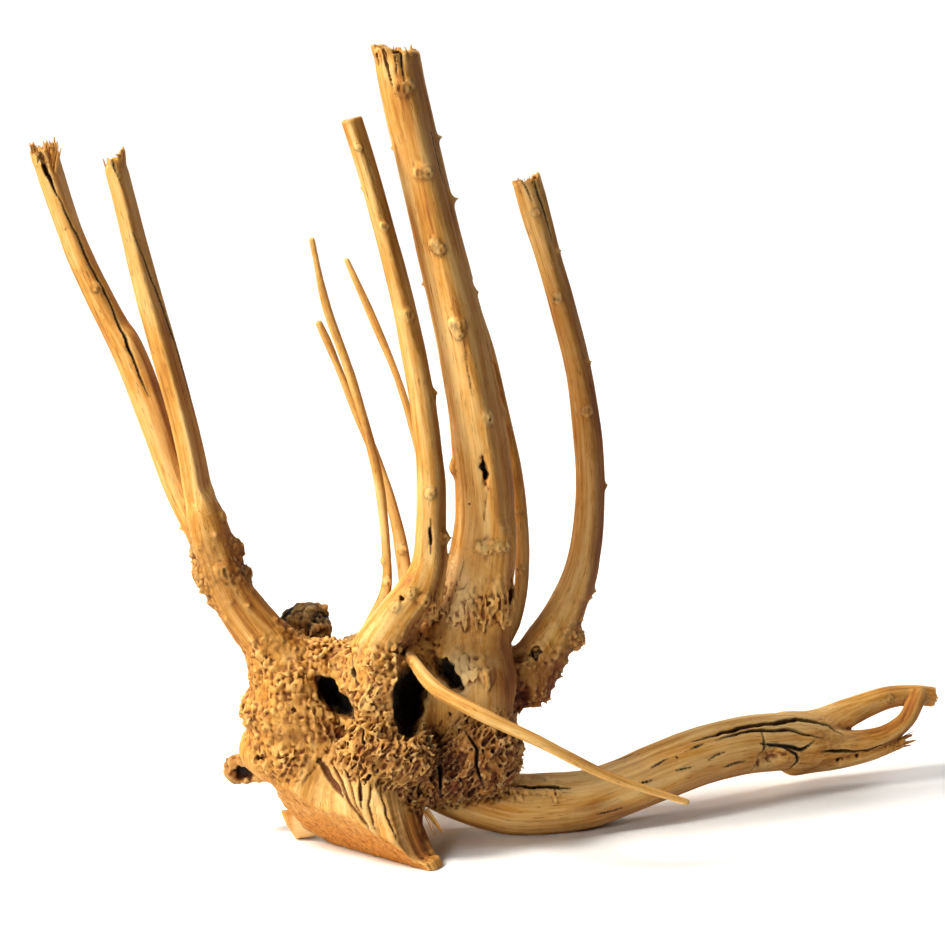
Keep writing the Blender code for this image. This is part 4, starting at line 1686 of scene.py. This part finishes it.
def roots() -> tuple[Limb, ...]:
    """The long root with its forked end, the feet and the short roots."""
    up = (0.0, 0.0, 1.0)
    return (
        Limb("long_root", (
            (-42, -26, 34, 15), (-22, -25, 22, 14), (0, -22, 14, 14), (18, -18, 12.5, 14.2),
            (36, -13, 13, 13.4), (53, -6, 16.5, 13), (69, 3, 20.5, 13.4), (88, 15, 24, 13.6),
            (108, 27, 25.5, 13.6), (127, 39, 24, 13.4), (138, 45, 22.5, 12.4), (148, 51, 22, 8)),
            5.0, ridge=0.26, lobes=0.03, piece="long_root"),
        Limb("root_upper_fork", (
            (132, 45, 25, 11), (147, 54, 27, 8.4), (160, 61, 31, 6.6), (172, 67, 34.5, 5.6),
            (183, 72, 36.5, 5.2), (195, 77, 36, 4.8), (203, 80, 34.5, 4.6)), 4.0,
            Tip(End.JAGGED, 1.4, 1.8), piece="long_root"),
        Limb("root_lower_fork", (
            (134, 42, 18, 9), (150, 48, 20, 7.4), (164, 52, 20, 5.2), (178, 56, 22, 4.4),
            (189, 62, 28, 4), (195, 72, 36, 4)), 3.0, ridge=0.4, piece="long_root"),
        Limb("root_splinter", (
            (134, 42, 14, 6.5), (152, 50, 11, 4), (170, 54, 13, 2.8), (187, 58, 18, 2.4)),
            3.0, Tip(End.FRAYED, 1.5, 1.2), ridge=0.3, piece="long_root"),
        Limb("foot", (
            (-55, -46, 42, 16), (-50, -58, 26, 14), (-45.5, -66.5, 13, 11.5), (-38.5, -71.5, 0, 9.5)),
            4.0, flats=(Flat(-56, 0.28, 0.12, 1.0, 1.2),), ridge=0.6),
        Limb("foot_middle", (
            (-64, -44, 42, 17), (-66, -56, 26, 14.5), (-63, -64, 12, 12.5), (-58, -68, 0, 12)),
            5.0, ridge=0.6),
        Limb("foot_left", (
            (-80, -42, 46, 17), (-86, -46, 32, 15), (-88, -48, 18, 14), (-82, -50, 4, 13)),
            5.0, ridge=0.6),
        Limb("back_root", (
            (-44, -4, 42, 14), (-37, 14, 26, 10.5), (-27, 27, 13, 8.6), (-18, 37, 5, 7.4)),
            7.0, facing=up),
        Limb("back_root_stub", (
            (-76, -8, 52, 13), (-88, 8, 40, 8.6), (-96, 19, 34, 7.2)), 7.0,
            Tip(End.JAGGED, 1.5, 2.2), facing=up),
        Limb("hollow_root", (
            (-98, -30, 38, 9), (-108, -27, 33, 7), (-115, -25, 31, 6.4), (-120.5, -23, 30, 6.8)),
            4.0),
        Limb("pale_stub", (
            (-60, -28, 32, 9), (-72, -30, 18, 7.6), (-83, -31, 10, 6.8), (-92, -30, 7, 6.4),
            (-98, -30, 6.5, 6.2)), 3.0, Tip(End.SAWN, lean_across=0.5), late=True, pale=0.9,
            ridge=0.05),
        Limb("cut_nub", ((-86, -12, 88, 2.8), (-84, -12.5, 96, 2.7), (-83, -13, 102.5, 2.6)), 1.5,
             Tip(End.SAWN, lean_across=0.3), late=True, pale=0.4),
    )


def twigs() -> tuple[Limb, ...]:
    """The thin twigs."""
    return (
        Limb("fine_twig", (
            (-66, -42, 90, 3.4), (-60, -40, 102, 2.9), (-54, -35, 116, 2.4), (-54, -31, 134, 2.2),
            (-57, -26, 161, 2.1), (-63, -22, 187, 2), (-71, -19, 213, 1.9), (-80, -16, 239, 1.7),
            (-86, -13, 267, 1.4)), 2.0, ridge=0.1, piece="twigs", late=True),
        Limb("middle_twig", (
            (-45, -34, 98, 3.8), (-45, -24, 113, 3.3), (-49, -14, 138, 2.7), (-57, -8, 164, 2.2),
            (-68, -3, 190, 1.8), (-79, 3, 216, 1.6), (-84, 5, 227, 1.3)), 2.0, ridge=0.1,
            piece="twigs", late=True),
        Limb("back_twig", (
            (-24, -20, 100, 3), (-28, -16, 122, 2.2), (-34, -11, 146, 1.8), (-41, -4, 176, 1.6),
            (-49, 3, 202, 1.6), (-60, 9, 228, 1.5), (-72, 15, 254, 1.1)), 2.0, ridge=0.1,
            piece="twigs", late=True),
        Limb("back_branch", (
            (-8, -6, 74, 4.6), (1, -1, 88, 3.6), (6, 3, 108, 3.2), (6, 5, 132, 3.2), (3, 7, 160, 3),
            (-3, 8, 190, 2.6), (-9, 9, 216, 2.2), (-16, 9, 238, 1.8)), 3.0, ridge=0.14,
            piece="twigs", late=True),
        Limb("free_twig", (
            (-43, -22, 93, 3.2), (-45, -42, 91, 3), (-41, -56, 87, 2.9), (-31, -68, 79, 3),
            (-16, -77, 73, 3), (-3, -80, 67, 2.9), (12, -81, 60, 2.6), (26, -79, 52, 2.3),
            (40, -76, 44, 1.9), (56, -73, 37, 1.6), (77, -69, 29, 1.1)), 1.5, ridge=0.16,
            facing=(0.0, 0.0, 1.0), piece="twigs", late=True),
    )


def patches() -> tuple[Patch, ...]:
    """The patches of thorny, beaded, dripping, barky and pitted wood."""
    return (
        Patch(Skin.THORNS, (-95, -42, 64), (27, 28, 27)),
        Patch(Skin.THORNS, (-102, -38, 88), (17, 18, 14), 0.55),
        Patch(Skin.THORNS, (-127, -36, 124), (18, 18, 19), 0.26),
        Patch(Skin.THORNS, (-76, -36, 80), (20, 26, 18)),
        Patch(Skin.THORNS, (-57, -50, 78), (18, 22, 20), 0.85),
        Patch(Skin.THORNS, (-48, -42, 98), (14, 14, 9), 0.3),
        Patch(Skin.THORNS, (13, -5, 70), (17, 18, 17), 0.42),
        Patch(Skin.THORNS, (30, -2, 92), (12, 12, 14), 0.3),
        Patch(Skin.THORNS, (-118, -24, 34), (12, 12, 12), 0.5),
        Patch(Skin.THORNS, (-40, 2, 62), (70, 26, 30), 0.8),
        Patch(Skin.BEADS, (-52, -58, 50), (26, 22, 17), 1.0),
        Patch(Skin.BEADS, (-12, -38, 40), (23, 24, 21), 1.1),
        Patch(Skin.BEADS, (-32, -42, 32), (22, 24, 17), 1.1),
        Patch(Skin.BEADS, (-58, -62, 66), (14, 16, 16), 0.55),
        Patch(Skin.BEADS, (-96, -52, 42), (17, 14, 9), 0.35),
        Patch(Skin.DRIPS, (-17, -32, 103), (24, 24, 26)),
        Patch(Skin.THORNS, (-17, -36, 104), (20, 16, 10), 0.35),
        Patch(Skin.DRIPS, (-22, -44, 79), (16, 14, 14), 0.9),
        Patch(Skin.DRIPS, (10, -30, 22), (14, 12, 8), 0.4),
        Patch(Skin.BARK, (-91, -12, 93), (14, 13, 12)),
        Patch(Skin.PORES, (-39, -20, 86), (12, 13, 14)),
    )


def knots() -> tuple[Knot, ...]:
    """Single knots, spurs, burrs and pits, stem by stem."""
    left = (
        Knot(Mark.BURR, (-118, -33, 134), 3.6, 3.2), Knot(Mark.BURR, (-111, -33, 125), 2.8, 2.6),
        Knot(Mark.BUD, (-125, -37, 149), 1.9, 1.6), Knot(Mark.SPIKE, (-144, -30, 142), 1.8, 2.2),
        Knot(Mark.BURR, (-140, -34, 131), 2.2, 2.0), Knot(Mark.BURR, (-140, -37, 121), 4.2, 3.6),
        Knot(Mark.BURR, (-138, -41, 115), 2.6, 2.4), Knot(Mark.BURR, (-132, -40, 110), 2.2, 2.2),
        Knot(Mark.EYE, (-125, -45, 126), 2.6, 1.8), Knot(Mark.EYE, (-122, -45, 124), 1.8, 1.6),
        Knot(Mark.SPIKE, (-123, -45, 105), 1.9, 1.7), Knot(Mark.SPIKE, (-114, -46, 111), 2.0, 1.7),
        Knot(Mark.SPIKE, (-102, -43, 104), 1.7, 1.4), Knot(Mark.SPIKE, (-138, -40, 141), 2.0, 2.0),
        Knot(Mark.SPIKE, (-128, -43, 142), 1.9, 1.6), Knot(Mark.SPIKE, (-134, -42, 136), 1.8, 1.8),
        Knot(Mark.SPIKE, (-127, -36, 104), 1.6, 1.6), Knot(Mark.SPIKE, (-112, -48, 96), 1.5, 1.4),
        Knot(Mark.PIT, (-194, -9, 271), 0.9), Knot(Mark.PIT, (-180, -14, 244), 1.0),
        Knot(Mark.BUD, (-179, -14, 247), 1.6, 0.8), Knot(Mark.PIT, (-169, -31, 305), 1.4),
    )
    second = (
        Knot(Mark.BUD, (-34.5, -40, 160), 1.9, 1.3), Knot(Mark.SPIKE, (-26, -34, 138.6), 2.3, 3.2),
        Knot(Mark.BUD, (-28.5, -37, 139.5), 2.0, 1.6), Knot(Mark.SPIKE, (-43, -30, 133), 2.2, 2.0),
        Knot(Mark.BUD, (-36.7, -49, 114), 2.2, 1.6), Knot(Mark.BUD, (-32, -29, 202), 1.5, 1.2),
        Knot(Mark.EYE, (-43.5, -31, 237), 2.0, 1.0), Knot(Mark.BUD, (-65, -26, 309), 1.3, 0.7),
        Knot(Mark.EYE, (-54, -28, 275), 1.7, 1.0), Knot(Mark.SPIKE, (-64, -23, 291), 1.2, 1.2),
        Knot(Mark.BUD, (-53.5, -37, 119.4), 1.7, 1.2), Knot(Mark.BUD, (-47, -20, 130), 1.8, 0.9),
        Knot(Mark.BUD, (-57, -34, 128), 1.3, 0.8), Knot(Mark.PIT, (-46.5, -50.5, 115.5), 1.5),
        Knot(Mark.BUD, (-43, -51, 118), 1.9, 1.2), Knot(Mark.BUD, (-50, -51, 112), 1.9, 1.2),
    )
    trunk = (
        Knot(Mark.EYE, (-46.3, -21, 334), 2.6, 1.5), Knot(Mark.BUD, (-43, -20.5, 335), 1.8, 1.3),
        Knot(Mark.EYE, (-38.8, -23, 298), 2.3, 1.4), Knot(Mark.BUD, (-35.6, -22.5, 297.6), 2.0, 1.3),
        Knot(Mark.BUD, (-33.3, -25, 267), 1.9, 1.4), Knot(Mark.BUD, (-30.3, -25, 265), 2.0, 1.4),
        Knot(Mark.EYE, (-24.3, -28, 232), 2.1, 1.5), Knot(Mark.BUD, (-21.3, -28, 232), 1.9, 1.4),
        Knot(Mark.BUD, (-21.8, -28.5, 228), 1.8, 1.3), Knot(Mark.SPIKE, (-29.7, -9, 311.6), 2.0, 2.2),
        Knot(Mark.SPIKE, (-23, -10, 284.7), 2.4, 2.8), Knot(Mark.SPIKE, (-51, -11.5, 307), 1.5, 1.5),
        Knot(Mark.SPIKE, (-38.9, -14, 247.5), 1.4, 1.5), Knot(Mark.PIT, (-15, -12, 248), 1.3),
        Knot(Mark.SPIKE, (-14, -12, 244), 1.6, 1.2), Knot(Mark.PIT, (-6.6, -15, 213), 1.3),
        Knot(Mark.BUD, (-8.8, -28, 191), 2.1, 1.5), Knot(Mark.BUD, (0.2, -12, 192), 1.9, 1.6),
        Knot(Mark.BUD, (-24.6, -16, 166), 2.6, 1.8), Knot(Mark.BUD, (-12.6, -30, 133.7), 1.9, 1.8),
        Knot(Mark.BUD, (-9.6, -30.7, 132.2), 1.7, 1.7), Knot(Mark.BUD, (-7.9, -30.5, 135.2), 1.6, 1.5),
        Knot(Mark.BUD, (-4.6, -30, 133.6), 1.9, 1.7), Knot(Mark.BUD, (-1.6, -29, 133.2), 1.7, 1.5),
        Knot(Mark.SPIKE, (-27.2, -24, 125.6), 1.6, 1.6), Knot(Mark.SPIKE, (-28, -25, 122.5), 1.5, 1.5),
        Knot(Mark.EYE, (-33.5, -30.5, 79), 2.4, 1.3), Knot(Mark.BUD, (5.8, 0.6, 116), 1.7, 1.2),
        Knot(Mark.BUD, (4.8, 2.6, 142), 1.3, 0.8), Knot(Mark.PIT, (-20, -29, 152), 0.7),
    )
    right = (
        Knot(Mark.SPIKE, (23.3, 13, 258.6), 1.8, 1.5), Knot(Mark.EYE, (21.5, 8, 238), 1.9, 1.2),
        Knot(Mark.EYE, (35, 3, 188), 2.0, 1.3), Knot(Mark.SPIKE, (36.5, 10, 209), 1.7, 1.5),
        Knot(Mark.SPIKE, (43.5, 8, 153), 2.2, 2.0), Knot(Mark.SPIKE, (40, 4, 105), 2.2, 2.2),
        Knot(Mark.BUD, (12, 9.5, 276), 1.5, 0.9), Knot(Mark.BURR, (30, -2, 84.5), 3.8, 4.2),
        Knot(Mark.SPIKE, (22, -9, 83), 1.6, 1.3), Knot(Mark.SPIKE, (18, -11, 85), 1.5, 1.2),
        Knot(Mark.SPIKE, (32, -3, 94), 1.7, 1.5), Knot(Mark.PIT, (12.5, -14, 81.5), 3.0),
        Knot(Mark.PIT, (9.5, -14, 80.5), 1.2), Knot(Mark.PIT, (17, -13, 76), 0.9),
        Knot(Mark.SPIKE, (22, -3, 68), 2.4, 2.6), Knot(Mark.SPIKE, (17, -8, 60), 2.2, 2.4),
        Knot(Mark.SPIKE, (33, 2, 104), 1.8, 1.8), Knot(Mark.SPIKE, (25, -6, 76), 2.2, 2.2),
    )
    crown = (
        Knot(Mark.PIT, (-93.6, -60, 67.3), 1.5), Knot(Mark.PIT, (-109.8, -56, 44.4), 2.2),
        Knot(Mark.PIT, (-82.5, -59, 44), 1.6), Knot(Mark.PIT, (-26, -39, 60), 1.2),
        Knot(Mark.PIT, (77, -5, 30), 0.7), Knot(Mark.PIT, (155.3, 46.7, 13), 2.0),
        Knot(Mark.PIT, (164.5, 50, 14), 1.1), Knot(Mark.PIT, (183.3, 66.4, 37), 1.2),
        Knot(Mark.BUD, (181, 66, 37.5), 1.6, 0.6),
    )
    return left + second + trunk + right + crown


def cracks() -> tuple[Crack, ...]:
    """Splits, grooves and ledges, part by part."""
    crown = (
        Crack(((-37, -50, 62), (-35, -56, 55), (-32, -56, 48.6), (-29.8, -53, 41), (-30, -54, 28)),
              1.25, 5.0),
        Crack(((-18.4, -50, 54), (-14, -53, 47.8), (-14.5, -54, 41), (-11.4, -50.5, 29)), 0.8, 3.0),
        Crack(((-70.3, -56, 87), (-68.4, -59, 82)), 1.9, 4.0, dark=0.9),
        Crack(((-64.2, -62, 59.5), (-63.4, -63.5, 53)), 1.0, 3.0),
        Crack(((-82, -59, 44), (-79, -62, 38), (-73, -66, 31)), 3.0, 2.4, dark=0.35),
        Crack(((-77, -60, 43), (-71, -68, 31), (-62, -74, 20)), 1.3, 1.8, dark=0.25),
        Crack(((-71, -61, 42), (-67, -70, 29), (-60, -75, 17)), 1.0, 1.5, dark=0.2),
        Crack(((-65.3, -66.6, 38), (-64.4, -70.4, 29)), 1.1, 2.6, dark=0.6),
        Crack(((-60, -66, 38), (-61, -71, 29), (-58, -75, 19)), 0.9, 1.2, dark=0.2),
        Crack(((-55, -66, 36), (-54, -71, 24), (-50, -73, 12)), 1.1, 1.4, dark=0.15),
    )
    stems_ = (
        Crack(((-121, -42, 132), (-112, -39, 118), (-102, -36, 106), (-92, -36, 97)), 0.8, 1.8,
              dark=0.55),
        Crack(((-195.7, -7.5, 284), (-189.4, -7.6, 270), (-182.6, -9.8, 254), (-174, -12, 238),
               (-170, -15.5, 228), (-164.5, -19, 215), (-158.8, -22, 202)), 0.65, 2.6),
        Crack(((-207, -5, 308), (-203.5, -7, 300), (-199, -8, 290)), 2.0, 4.5, True, 0.8),
        Crack(((-160, -33, 272), (-155, -31, 257), (-150, -30, 242), (-146, -30, 230),
               (-142, -30, 216), (-139, -31, 204)), 0.6, 1.8, dark=0.9),
        Crack(((-168, -33, 304), (-164, -34, 296)), 0.6, 2.0, True, 0.5),
        Crack(((-34.1, -42, 146), (-34.5, -44, 137)), 0.8, 3.0),
        Crack(((-63, -25, 309), (-58, -26, 293), (-54.6, -28, 278)), 0.4, 0.8, dark=0.5),
        Crack(((-55, -18.5, 353), (-53.2, -19, 343), (-50, -20, 333)), 1.1, 3.0, True, 0.5),
        Crack(((-46.8, -20, 352), (-45.8, -21, 342), (-45, -21, 337)), 0.6, 2.5, True, 0.6),
        Crack(((-50, -20, 350), (-48.5, -20.5, 341)), 0.6, 2.0, True, 0.5),
        Crack(((-33.1, -15.8, 313), (-31, -15.8, 303), (-29, -16, 294)), 0.5, 1.6),
        Crack(((-20, -29, 226), (-16, -30, 202)), 0.5, 0.8, dark=0.35),
        Crack(((-10, -30, 158), (-11, -30, 146)), 0.5, 0.8, dark=0.3),
        Crack(((-22, -29, 128), (-21.5, -29, 112)), 0.35, 0.8, dark=0.5),
        Crack(((11.6, 12, 289.5), (15.2, 12.7, 279), (18.8, 12.4, 267)), 0.9, 3.0, True, 0.9),
        Crack(((6, 11, 290), (9, 9, 283)), 0.6, 2.0, True, 0.7),
    )
    root = (
        Crack(((3, -31, 24), (9, -30, 23.2), (14, -29, 22.9), (24.5, -27, 22.3)), 0.8, 3.0),
        Crack(((17, -28.6, 22.7), (24, -27, 22.3)), 1.3, 4.0),
        Crack(((87, 5.6, 34.9), (98, 12, 36.3), (110.6, 20, 37.3), (123.7, 28, 36.5),
               (134.7, 36.4, 35.9), (143.6, 41, 33.6), (149.6, 44.6, 31), (154.4, 45.7, 27)),
              1.3, 3.4, dark=0.75),
        Crack(((96.6, 9.4, 34), (110.5, 18.5, 35), (120, 23, 34), (130, 29, 32.7), (140.6, 33.5, 29),
               (146, 36, 27)), 0.9, 2.6, dark=0.6),
        Crack(((118, 18.7, 32), (119, 17.7, 26.5), (115.6, 15.6, 23.3), (114.3, 16.2, 18)), 1.3, 3.4,
              dark=0.8),
        Crack(((118.5, 19, 29), (128.2, 24, 26.6), (136.6, 29.3, 23), (141, 32, 25)), 1.0, 3.0),
        Crack(((129.7, 24.7, 24.4), (134.2, 28.3, 21), (134.9, 29.8, 18), (131.9, 31.5, 13)), 0.8, 2.4),
        Crack(((148, 38, 20), (160, 45, 18), (168.7, 50, 17), (179, 52, 20)), 0.9, 2.6),
        Crack(((84, 1.5, 32), (88, 3.5, 33)), 0.6, 1.2), Crack(((76, -5, 23.8), (81, -2.5, 24)), 0.6, 1.2),
        Crack(((59, -16.5, 21.2), (64, -14.5, 22)), 0.6, 1.0), Crack(((50, -5, 29), (56, -3, 30)), 0.6, 1.0),
        Crack(((66, -13, 29), (72, -8.5, 30.5)), 0.5, 1.0), Crack(((92, 2, 27), (98, 6, 28.5)), 0.5, 1.0),
        Crack(((100, 6, 22), (108, 11, 23)), 0.6, 1.2), Crack(((40, -24, 10), (50, -20, 11)), 0.4, 0.8),
    )
    return crown + stems_ + root


@dataclass
class Fibres:
    """Loose fibres and splinters that stand out of the torn ends.

    Attributes:
        places: For each bunch, its middle, the direction it points, its width and depth,
            the length of its fibres, all in mm, and their number.
        seed: Seed of the random draws.
    """

    places: tuple[tuple, ...] = (
        ((-203.6, 1, 302), (-0.19, 0.06, 0.98), 4.8, 4.4, 7.5, 34),
        ((-199.5, -1, 296), (0.12, -0.2, 0.97), 2.0, 3.0, 13.0, 12),
        ((-170.5, -27, 302), (-0.16, 0.04, 0.98), 3.8, 3.4, 3.2, 9),
        ((-48.5, -11, 348.5), (-0.15, 0.0, 0.98), 7.6, 6.6, 2.6, 12),
        ((7.5, 17, 288.5), (-0.2, 0.05, 0.97), 4.6, 4.2, 2.8, 10),
        ((186, 58.5, 18), (0.9, 0.2, 0.25), 1.8, 2.0, 8.0, 12),
        ((-35, -60, 20), (0.45, -0.2, -0.7), 1.6, 2.0, 10.0, 5),
    )
    seed: int = 5

    def build(self, name: str, material: bpy.types.Material) -> bpy.types.Object:
        """Makes all the bunches as one piece.

        Args:
            name: Name of the piece.
            material: Its finish.

        Returns:
            The object.
        """
        rng = np.random.default_rng(self.seed)
        paths, radii = [], []
        t = np.linspace(0.0, 1.0, FIBRE_RINGS)
        for middle, way, wide, deep, length, count in self.places:
            way = np.array(way) / np.linalg.norm(way)
            side = np.cross(way, (0.0, 1.0, 0.1))
            side /= np.linalg.norm(side)
            front = np.cross(side, way)
            u, v = rng.uniform(-1, 1, (2, count))
            far = np.maximum(np.hypot(u, v), 1.0)
            u, v = u / far, v / far
            base = (np.array(middle) - np.array(ORIGIN) + side * (u * wide)[:, None]
                    + front * (v * deep)[:, None] - way * 3.0)
            lean = side * (0.12 * u + rng.normal(0, 0.05, count))[:, None]
            lean += front * (0.12 * v + rng.normal(0, 0.05, count))[:, None]
            reach = length * rng.uniform(0.45, 1.0, count) + 3.0
            curl = rng.normal(0, 0.5, (count, 1)) * side + rng.normal(0, 0.5, (count, 1)) * front
            path = (base[:, None] + (way + lean)[:, None] * (reach[:, None] * t)[:, :, None]
                    + curl[:, None] * (t ** 2)[None, :, None])
            paths.append(path)
            radii.append(rng.uniform(0.25, 0.85, (count, 1)) * (1.0 - 0.6 * t ** 2))
        points, quads, fans = tubes(np.concatenate(paths), np.concatenate(radii), FIBRE_SIDES)
        number = sum(len(some) for some in radii)
        along = np.tile(np.repeat(t, FIBRE_SIDES), number)
        grain = np.zeros((len(points), 3))
        grain[:len(along), 0] = np.repeat(rng.uniform(0, 90, number), FIBRE_RINGS * FIBRE_SIDES)
        grain[:len(along), 2] = along * 8.0
        return make_mesh(name, points, quads, fans, material, marks={
            "grain": grain, "kind": np.zeros_like(points), "hollow": np.zeros_like(points),
            "relief": np.full(len(points), 0.05), "shade": np.full(len(points), -0.25)})


def build_wood() -> Wood:
    """Puts the whole piece of wood together."""
    return Wood(stems() + roots() + twigs(), crown_lumps(), patches(), knots(), cracks(), hollows())


@dataclass
class Driftwood:
    """The driftwood's skin, split into pieces across its thick limbs.

    Attributes:
        seams: For each piece, a point of the plane that parts it from the crown and the
            direction along the limb there, mm.
        crown: Where each slice of the crown ends on its right side, mm.
        twig_start: Distance along a twig where its own piece starts, mm.
    """

    seams: dict[str, tuple[tuple[float, float, float], tuple[float, float, float]]] = field(
        default_factory=lambda: {
            "main_trunk": ((-10, -17, 128), (0, 0, 1)),
            "left_fork": ((-104, -36, 90), (-0.55, 0, 0.83)),
            "second_stem": ((-48, -44, 104), (0.5, 0, 0.86)),
            "right_limb": ((22, -1, 89), (0.5, 0, 0.86)),
            "long_root": ((16, -18, 12.5), (1, 0.2, 0)),
        })
    crown: dict[str, float] = field(default_factory=lambda: {
        "crown_left": -84.0, "crown_middle": -56.0, "crown_right": -24.0, "crown_far_right": 90.0})
    twig_start: float = 24.0

    def build(self, wood: Wood, material: bpy.types.Material) -> list[bpy.types.Object]:
        """Lays the skin and makes its pieces.

        Args:
            wood: The wood.
            material: Its finish.

        Returns:
            The pieces.
        """
        low = np.array([v / MM for v in CAD_BOX[0]]) - GRID_ROOM[0]
        high = np.array([v / MM for v in CAD_BOX[1]]) + GRID_ROOM[1]
        skin = Skinner(wood, low, high).run()
        drop_crumbs(skin)
        finish_surface(skin)
        log.info("skin: %d points, %d faces", len(skin.points), len(skin.faces))
        middle = skin.points[skin.faces].mean(axis=1)
        lead, along = skin.lead[skin.faces[:, 0]], skin.grain[skin.faces[:, 0], 2]
        names = [*self.crown, *self.seams, "twigs"]
        owner = np.searchsorted(list(self.crown.values())[:-1], middle[:, 0])
        for number, limb in enumerate(wood.limbs):
            mine = lead == number
            if limb.piece in self.seams:
                at, way = (np.array(v, float) for v in self.seams[limb.piece])
                mine &= (middle - (at - np.array(ORIGIN))) @ way > 0.0
            elif limb.piece == "twigs":
                mine &= along > self.twig_start
            else:
                continue
            owner[mine] = names.index(limb.piece)
        made = []
        for number, name in enumerate(names):
            faces = skin.faces[owner == number]
            if len(faces):
                made.append(self.piece(name, skin, faces, material))
        return made

    def piece(
        self, name: str, skin: Surface, faces: Array, material: bpy.types.Material
    ) -> bpy.types.Object:
        """Makes one piece of the skin.

        Args:
            name: Name of the piece.
            skin: The whole skin.
            faces: The piece's own faces.
            material: Its finish.

        Returns:
            The object.
        """
        used, flat = np.unique(faces, return_inverse=True)
        quads = flat.reshape(faces.shape)
        points = skin.points[used]
        marks = {"grain": skin.grain, "kind": skin.kind, "hollow": skin.hollow,
                 "relief": skin.relief, "shade": skin.shade}
        made = make_mesh(name, points, quads, np.zeros((0, 3), int), material,
                         marks={key: values[used] for key, values in marks.items()})
        close_holes(made.data)
        made.data.normals_split_custom_set_from_vertices(skin.normals[used])
        log.info("%s: %d triangles", name, sum(len(face.vertices) - 2 for face in made.data.polygons))
        return made


def place(thing: bpy.types.Object, at: tuple, target: tuple) -> None:
    """Puts a lamp or camera into the scene so that it faces a point.

    Args:
        thing: The lamp or camera.
        at: Its place, mm.
        target: The point it faces, mm.
    """
    thing.location = Vector(at) * MM
    way = Vector(target) - Vector(at)
    thing.rotation_euler = way.to_track_quat("-Z", "Y").to_euler()
    bpy.context.scene.collection.objects.link(thing)


@dataclass
class Studio:
    """The floor, the backdrop, the lamps and the camera.

    Attributes:
        camera_at: Place of the camera, mm.
        look_at: The point it looks at, mm.
        lens: Focal length, mm.
        sensor: Width of the camera's sensor, mm.
        gamma: Display gamma; below one it deepens the middle tones.
    """

    camera_at: tuple[float, float, float] = (-14.4, -1488.72, 477.006)
    look_at: tuple[float, float, float] = (-14.4, -21.5, 165.138)
    lens: float = 129.87
    sensor: float = 36.0
    gamma: float = 0.85

    def build(self) -> None:
        """Sets up the whole studio."""
        self.floor()
        self.lamps()
        self.camera()
        bpy.context.scene.view_settings.view_transform = "Standard"
        bpy.context.scene.view_settings.gamma = self.gamma

    def floor(self) -> None:
        """A sheet of paper that runs back and curves up: a profile carried across."""
        turn = np.linspace(0.0, math.pi / 2, 24)
        depth = np.concatenate(((-3000.0,), 1500.0 + 900.0 * np.sin(turn), (2400.0,)))
        height = np.concatenate(((0.0,), 900.0 * (1.0 - np.cos(turn)), (3600.0,)))
        across = np.linspace(-4000.0, 4000.0, 9)
        x, y = np.meshgrid(across, depth, indexing="ij")
        z = np.broadcast_to(height, x.shape)
        points = np.stack((x, y, z), axis=-1).reshape(-1, 3)
        n, m = x.shape
        i, j = np.meshgrid(np.arange(n - 1), np.arange(m - 1), indexing="ij")
        a = (i * m + j).ravel()
        quads = np.stack((a, a + m, a + m + 1, a + 1), axis=1)
        floor = make_mesh("studio_floor", points, quads, np.zeros((0, 3), int),
                          PaleFloor().build())

    def lamp(self, name: str, at: tuple[float, float, float], size: float, power: float,
             colour: str, target: tuple[float, float, float] = (-20.0, -10.0, 140.0),
             spread: float = 180.0) -> None:
        """Adds one square lamp.

        Args:
            name: Name of the lamp.
            at: Its place, mm.
            size: Its side, mm.
            power: Power, W.
            colour: sRGB hex colour.
            target: The point it faces, mm.
            spread: How widely its grid lets the light fan out, degrees.
        """
        data = bpy.data.lights.new(name, "AREA")
        data.shape, data.size, data.energy = "SQUARE", size * MM, power
        data.color, data.spread = linear(colour)[:3], math.radians(spread)
        place(bpy.data.objects.new(name, data), at, target)

    def lamps(self) -> None:
        """A key from the upper left, a weak fill and light on the backdrop."""
        self.lamp("key", (-1385.0, -410.0, 1707.0), 520.0, 9.0, "FFFAF2", spread=70.0)
        self.lamp("fill", (-950.0, -1500.0, 900.0), 500.0, 2.0, "FFFFFF", spread=70.0)
        for side in (-1.0, 1.0):
            self.lamp("backdrop", (side * 1500.0, 900.0, 1700.0), 900.0, 30.0, "FFFFFF",
                      (side * 300.0, 2300.0, 500.0))
        world = bpy.data.worlds.new("room")
        world.use_nodes = True
        world.node_tree.nodes["Background"].inputs["Color"].default_value = linear("FFF2DE")
        world.node_tree.nodes["Background"].inputs["Strength"].default_value = 0.05
        bpy.context.scene.world = world

    def camera(self) -> None:
        """Sets the camera that looks slightly down at the crown."""
        data = bpy.data.cameras.new("camera")
        data.lens, data.sensor_width = self.lens, self.sensor
        data.clip_start, data.clip_end = 0.05, 50.0
        camera = bpy.data.objects.new("camera", data)
        place(camera, self.camera_at, self.look_at)
        bpy.context.scene.camera = camera


def main() -> None:
    """Builds the studio and the driftwood, and says what each piece is to the frame."""
    logging.basicConfig(level=logging.INFO, format="%(name)s: %(message)s", stream=sys.stdout)
    Studio().build()
    wood = build_wood()
    material = BleachedWood().build()
    pieces = Driftwood().build(wood, material)
    pieces.append(Fibres().build("torn_fibres", material))
    for piece in pieces:
        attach(piece, "root")
        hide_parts("driftwood")


if __name__ == "__main__":
    main()
